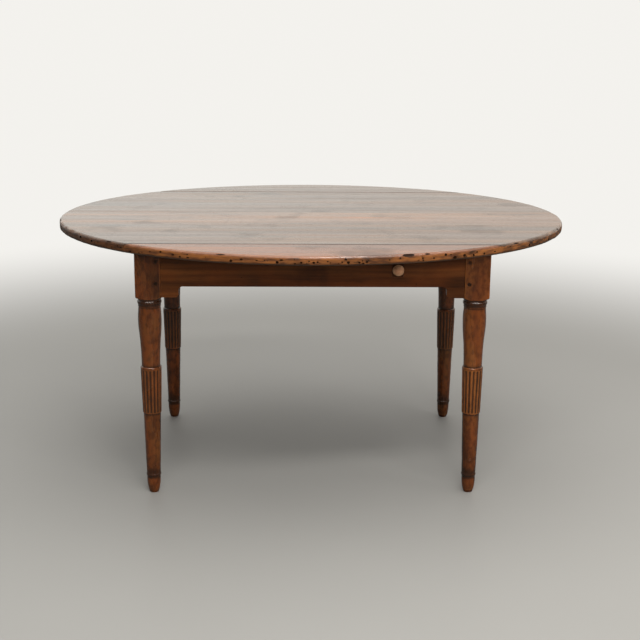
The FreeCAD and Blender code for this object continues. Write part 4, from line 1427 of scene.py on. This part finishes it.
@dataclass
class Studio:
    """Pale floor, soft lights, pale background and the camera of the photograph."""

    floor_radius: float = 14.0
    floor_colour: Colour = (0.42, 0.42, 0.405)
    floor_bounce: Colour = (0.13, 0.124, 0.115)
    background: Colour = (0.90, 0.885, 0.85)
    wall_light: Colour = (0.46, 0.453, 0.44)
    front_light: Colour = (0.06, 0.058, 0.055)
    wall_left: Colour = (0.92, 0.905, 0.85)
    wall_right: Colour = (0.82, 0.76, 0.69)
    front_shown: Colour = (0.16, 0.155, 0.15)
    camera_place: Point = (-0.0567, -3.9216, 1.4744)
    pitch: float = 14.9038
    yaw: float = 1.2452
    roll: float = -0.4609
    lens: float = 73.45
    lamps: tuple[Lamp, ...] = (
        Lamp("overhead", (0.2, -0.2, 4.2), (0.0, 0.0, 0.7), (4.6, 4.6), 100),
        Lamp("ceiling_strip", (0.5, -2.7, 3.8), (0.0, -0.3, 0.6), (3.4, 0.5), 64),
        Lamp("front", (0.5, -3.6, 1.8), (0.0, 0.0, 0.5), (1.4, 0.9), 42, is_mirrored=False),
        Lamp("right_side", (3.9, -1.9, 1.5), (0.0, -0.2, 0.4), (1.4, 1.4), 24, is_mirrored=False),
        Lamp("bead_glint", (0.3, -3.2, 2.7), (0.0, -0.3, 0.4), (5.0, 0.35), 84, glints="_turned"),
        Lamp("rim_glint", (0.38, -0.85, 3.4), (0.38, -0.85, 0.7), (0.5, 1.0), 32, glints="front_leaf_worn"),
    )

    def floor(self) -> None:
        """Lay a round pale floor that fades into the background."""
        bpy.ops.object.select_all(action="DESELECT")
        bpy.ops.mesh.primitive_circle_add(vertices=96, radius=self.floor_radius, fill_type="NGON")
        floor = bpy.context.active_object
        floor.name = floor.data.name = "floor"
        material = bpy.data.materials.new("pale_floor")
        material.use_nodes = True
        nodes = Nodes(material.node_tree)
        shader = material.node_tree.nodes["Principled BSDF"]
        place = nodes.add("TexCoord").outputs["Object"]
        cloud = nodes.noise(place, 1.3, 4.0)
        shade = tuple(part * 0.93 for part in self.floor_colour)
        seen = nodes.add("LightPath").outputs["Is Camera Ray"]
        colour = nodes.mix(seen, self.floor_bounce, nodes.mix(cloud, shade, self.floor_colour))
        nodes.feed(shader.inputs["Base Color"], colour)
        shader.inputs["Roughness"].default_value = 0.55
        fade = nodes.span(nodes.length(place), 1.5, 3.6)
        glow = nodes.add("Emission", {"Color": self.background, "Strength": 1.0})
        faded = nodes.math("MULTIPLY", fade, seen)
        blend = nodes.add("MixShader", {0: faded, 1: shader.outputs[0], 2: glow.outputs[0]})
        nodes.feed(material.node_tree.nodes["Material Output"].inputs["Surface"], blend.outputs[0])
        floor.data.materials.append(material)

    def world(self) -> None:
        """Show a pale background, and light the table softly as a bright wall behind it does."""
        world = bpy.data.worlds.new("studio")
        bpy.context.scene.world = world
        world.use_nodes = True
        nodes = Nodes(world.node_tree)
        room = world.node_tree.nodes["Background"]
        aim = nodes.parts(nodes.add("TexCoord").outputs["Generated"])
        raised = nodes.math("ADD", aim[1], nodes.math("MULTIPLY", aim[2], 0.55))
        towards_wall = nodes.span(raised, -0.1, 0.85)
        rays = nodes.add("LightPath").outputs
        mirrored = nodes.math("MAXIMUM", rays["Is Glossy Ray"], rays["Is Transmission Ray"])
        lit = nodes.mix(towards_wall, self.front_light, self.wall_light)
        lit = nodes.mix(1.0, lit, nodes.span(aim[0], -0.7, 0.7, 0.4, 1.5), "MULTIPLY")
        wall = nodes.mix(nodes.span(aim[0], -0.2, 0.25), self.wall_left, self.wall_right)
        shown = nodes.mix(towards_wall, self.front_shown, wall)
        nodes.feed(room.inputs["Color"], nodes.mix(mirrored, lit, shown))
        plain = nodes.add("Background", {"Color": self.background, "Strength": 1.0})
        blend = nodes.add("MixShader", {0: rays["Is Camera Ray"], 1: room.outputs[0], 2: plain.outputs[0]})
        nodes.feed(world.node_tree.nodes["World Output"].inputs["Surface"], blend.outputs[0])

    def camera(self) -> None:
        """Set the camera where the photograph was taken."""
        pitch, yaw, roll = (math.radians(angle) for angle in (self.pitch, self.yaw, self.roll))
        side = Vector((math.cos(yaw), -math.sin(yaw), 0))
        ahead = Vector((math.cos(pitch) * math.sin(yaw), math.cos(pitch) * math.cos(yaw), -math.sin(pitch)))
        up = Vector((math.sin(pitch) * math.sin(yaw), math.sin(pitch) * math.cos(yaw), math.cos(pitch)))
        right = side * math.cos(roll) - up * math.sin(roll)
        top = side * math.sin(roll) + up * math.cos(roll)
        data = bpy.data.cameras.new("camera")
        data.lens = self.lens
        data.sensor_width = 36.0
        holder = bpy.data.objects.new("camera", data)
        matrix = Matrix((right, top, -ahead)).transposed().to_4x4()
        matrix.translation = Vector(self.camera_place)
        holder.matrix_world = matrix
        bpy.context.scene.collection.objects.link(holder)
        bpy.context.scene.camera = holder

    def build(self) -> None:
        """Set up the whole studio."""
        bpy.context.scene.view_settings.view_transform = "Standard"
        self.floor()
        self.world()
        for lamp in self.lamps:
            lamp.hang()
        self.camera()


LAMP_COLOUR: Colour = (1.0, 0.965, 0.92)
WARM: Colour = (0.42, 0.17, 0.055)
INK: Colour = (0.020, 0.012, 0.008)
TOP_TONES: dict[str, Colour] = {
    "dark": (0.050, 0.024, 0.012),
    "middle": (0.125, 0.062, 0.032),
    "light": (0.23, 0.125, 0.068),
}
WARM_BOARD_TONES: dict[str, Colour] = {
    "dark": (0.10, 0.045, 0.020),
    "middle": (0.20, 0.092, 0.042),
    "light": (0.34, 0.165, 0.075),
}
RED_LEAF_TONES: dict[str, Colour] = {
    "dark": (0.13, 0.047, 0.020),
    "middle": (0.245, 0.090, 0.040),
    "light": (0.36, 0.145, 0.066),
}
BOARD_FINISHES: dict[str, BoardFinish] = {
    "top_board_front": BoardFinish(
        "front_board_wax",
        **TOP_TONES,
        seed=0.31,
        stains=(
            Stain(-0.57, -0.17, 0.10, 0.020, 0.6, INK),
            Stain(0.02, -0.31, 0.30, 0.018, 0.35, WARM),
        ),
    ),
    "top_board_centre_front": BoardFinish(
        "centre_front_board_wax",
        **WARM_BOARD_TONES,
        seed=1.73,
        stains=(
            Stain(0.0, -0.05, 0.62, 0.065, 0.5, WARM),
            Stain(-0.55, -0.08, 0.10, 0.016, 0.8, INK),
            Stain(0.16, -0.035, 0.09, 0.018, 0.8, (0.45, 0.15, 0.035)),
            Stain(-0.06, -0.138, 0.24, 0.007, 0.8, INK),
            Stain(-0.34, 0.040, 0.12, 0.010, 0.7, INK),
            Stain(0.62, 0.028, 0.12, 0.012, 0.8, INK),
        ),
    ),
    "top_board_centre_back": BoardFinish(
        "centre_back_board_wax",
        **TOP_TONES,
        seed=2.9,
        stains=(
            Stain(0.16, 0.13, 0.12, 0.020, 0.5, INK),
            Stain(-0.42, 0.15, 0.10, 0.020, 0.4, INK),
        ),
    ),
    "top_board_back": BoardFinish(
        "back_board_wax",
        **TOP_TONES,
        seed=4.4,
        stains=(Stain(-0.15, 0.395, 0.08, 0.028, 0.9, INK),),
    ),
    "front_leaf": BoardFinish("front_leaf_wax", **RED_LEAF_TONES, seed=5.6, wax=0.42),
    "back_leaf": BoardFinish("back_leaf_wax", **TOP_TONES, seed=7.2),
}
# The four legs are one wood, in lit and shaded copies: the right front leg's tones are the lit copy, the
# left front leg's are painted shade, and the back legs' are darker painted shade under the top.
SHADED_LEFT_LEG_TONES: dict[str, Colour] = {
    "dark": (0.036, 0.010, 0.003),
    "middle": (0.126, 0.037, 0.008),
    "light": (0.24, 0.080, 0.018),
}
LIT_RIGHT_LEG_TONES: dict[str, Colour] = {
    "dark": (0.055, 0.016, 0.004),
    "middle": (0.195, 0.060, 0.012),
    "light": (0.345, 0.119, 0.026),
}
SHADED_BACK_LEG_TONES: dict[str, Colour] = {
    "dark": (0.028, 0.008, 0.003),
    "middle": (0.098, 0.030, 0.007),
    "light": (0.185, 0.065, 0.015),
}
LEG_FINISHES: dict[str, WoodFinish] = {
    name: WoodFinish(
        f"{name}_wood",
        **tones,
        grain=Grain.ALONG_Z,
        seed=seed,
        ring_spacing=0.009,
        ring_depth=0.2,
        stretch=3.0,
        blush_depth=0.6,
        mottle=0.55,
        has_hollows=True,
        dirt_and_shade_colour=(0.034, 0.013, 0.005),
        dirt_depth=0.4,
        dull=0.40,
        shiny=0.20,
        gloss=0.5,
        wax=0.3,
    )
    for name, seed, tones in (
        ("front_left_leg", 0.2, SHADED_LEFT_LEG_TONES),
        ("front_right_leg", 1.9, LIT_RIGHT_LEG_TONES),
        ("back_left_leg", 3.1, SHADED_BACK_LEG_TONES),
        ("back_right_leg", 4.7, SHADED_BACK_LEG_TONES),
    )
}
APRON_TONES: dict[str, Colour] = {
    "dark": (0.045, 0.014, 0.005),
    "middle": (0.135, 0.043, 0.012),
    "light": (0.235, 0.078, 0.020),
}
EDGE_TONES: dict[str, Colour] = {
    "dark": (0.07, 0.024, 0.008),
    "middle": (0.17, 0.060, 0.018),
    "light": (0.27, 0.10, 0.030),
}
EDGE_RUB: dict[str, float] = {"dull": 0.7, "shiny": 0.5, "wax": 0.0}
APRON_LONG = WoodFinish("apron_stain", **APRON_TONES, seed=6.3, dirt_depth=0.45, blush_depth=0.3)
APRON_LONG_EDGE = WoodFinish("apron_edge_stain", **EDGE_TONES, seed=6.3, **EDGE_RUB)
APRON_END = WoodFinish("end_apron_stain", **APRON_TONES, grain=Grain.ALONG_Y, seed=8.1, dirt_depth=0.45)
APRON_END_EDGE = WoodFinish(
    "end_apron_edge_stain", **EDGE_TONES, grain=Grain.ALONG_Y, seed=8.1, **EDGE_RUB
)
PEG_WOOD = WoodFinish(
    "peg_end_wood",
    (0.022, 0.009, 0.004),
    (0.055, 0.020, 0.008),
    (0.105, 0.040, 0.014),
    ring_spacing=0.0012,
)
# Inside the rim's worm holes and chips the wood is painted near black: dirt and painted shade.
HOLE_SHADE_WOOD = WoodFinish(
    "worm_hole_wood",
    (0.014, 0.006, 0.003),
    (0.028, 0.011, 0.005),
    (0.05, 0.02, 0.008),
    dull=0.9,
    shiny=0.8,
    wax=0.0,
)
# The knob's tones are painted light: far paler than the wood, so the knob in the shade of the top shows
# bright.
KNOB_PAINTED_LIGHT = WoodFinish(
    "knob_polish",
    (0.50, 0.205, 0.095),
    (0.78, 0.385, 0.20),
    (0.90, 0.53, 0.32),
    grain=Grain.ALONG_Y,
    ring_spacing=0.003,
    has_hollows=True,
    dirt_cover=0.15,
    dirt_depth=0.12,
    worm_share=0.0,
    dull=0.36,
    shiny=0.22,
    wax=0.4,
)
INNER_TONES: dict[str, Colour] = {
    "dark": (0.10, 0.060, 0.034),
    "middle": (0.19, 0.118, 0.068),
    "light": (0.28, 0.18, 0.108),
}
DRY: dict[str, float] = {"dull": 0.85, "shiny": 0.65, "wax": 0.0}
INNER_ALONG_X = WoodFinish("inner_dry_wood", **INNER_TONES, **DRY)
INNER_ALONG_Y = WoodFinish("inner_cross_dry_wood", **INNER_TONES, grain=Grain.ALONG_Y, seed=2.2, **DRY)
LOPER_WOOD = LoperFinish(
    "loper_dry_wood", **INNER_TONES, grain=Grain.ALONG_Y, seed=3.3, dull=0.75, shiny=0.5, wax=0.0
)
HINGE_IRON = MetalFinish("old_hinge_iron", (0.10, 0.095, 0.09), (0.075, 0.032, 0.015), 0.55, 0.5)
SCREW_STEEL = MetalFinish("old_screw_steel", (0.38, 0.36, 0.33), (0.11, 0.05, 0.024), 0.35, 0.38)


def main() -> None:
    """Build the table piece by piece, then the studio."""
    logging.basicConfig(level=logging.INFO, format="%(name)s: %(message)s")
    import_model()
    OvalTop().build()
    TurnedLegs().build()
    Joinery().build()
    Knobs().build()
    Ironwork(HINGE_IRON, SCREW_STEEL).build()
    Studio().build()
    bpy.context.view_layer.update()


if __name__ == "__main__":
    main()
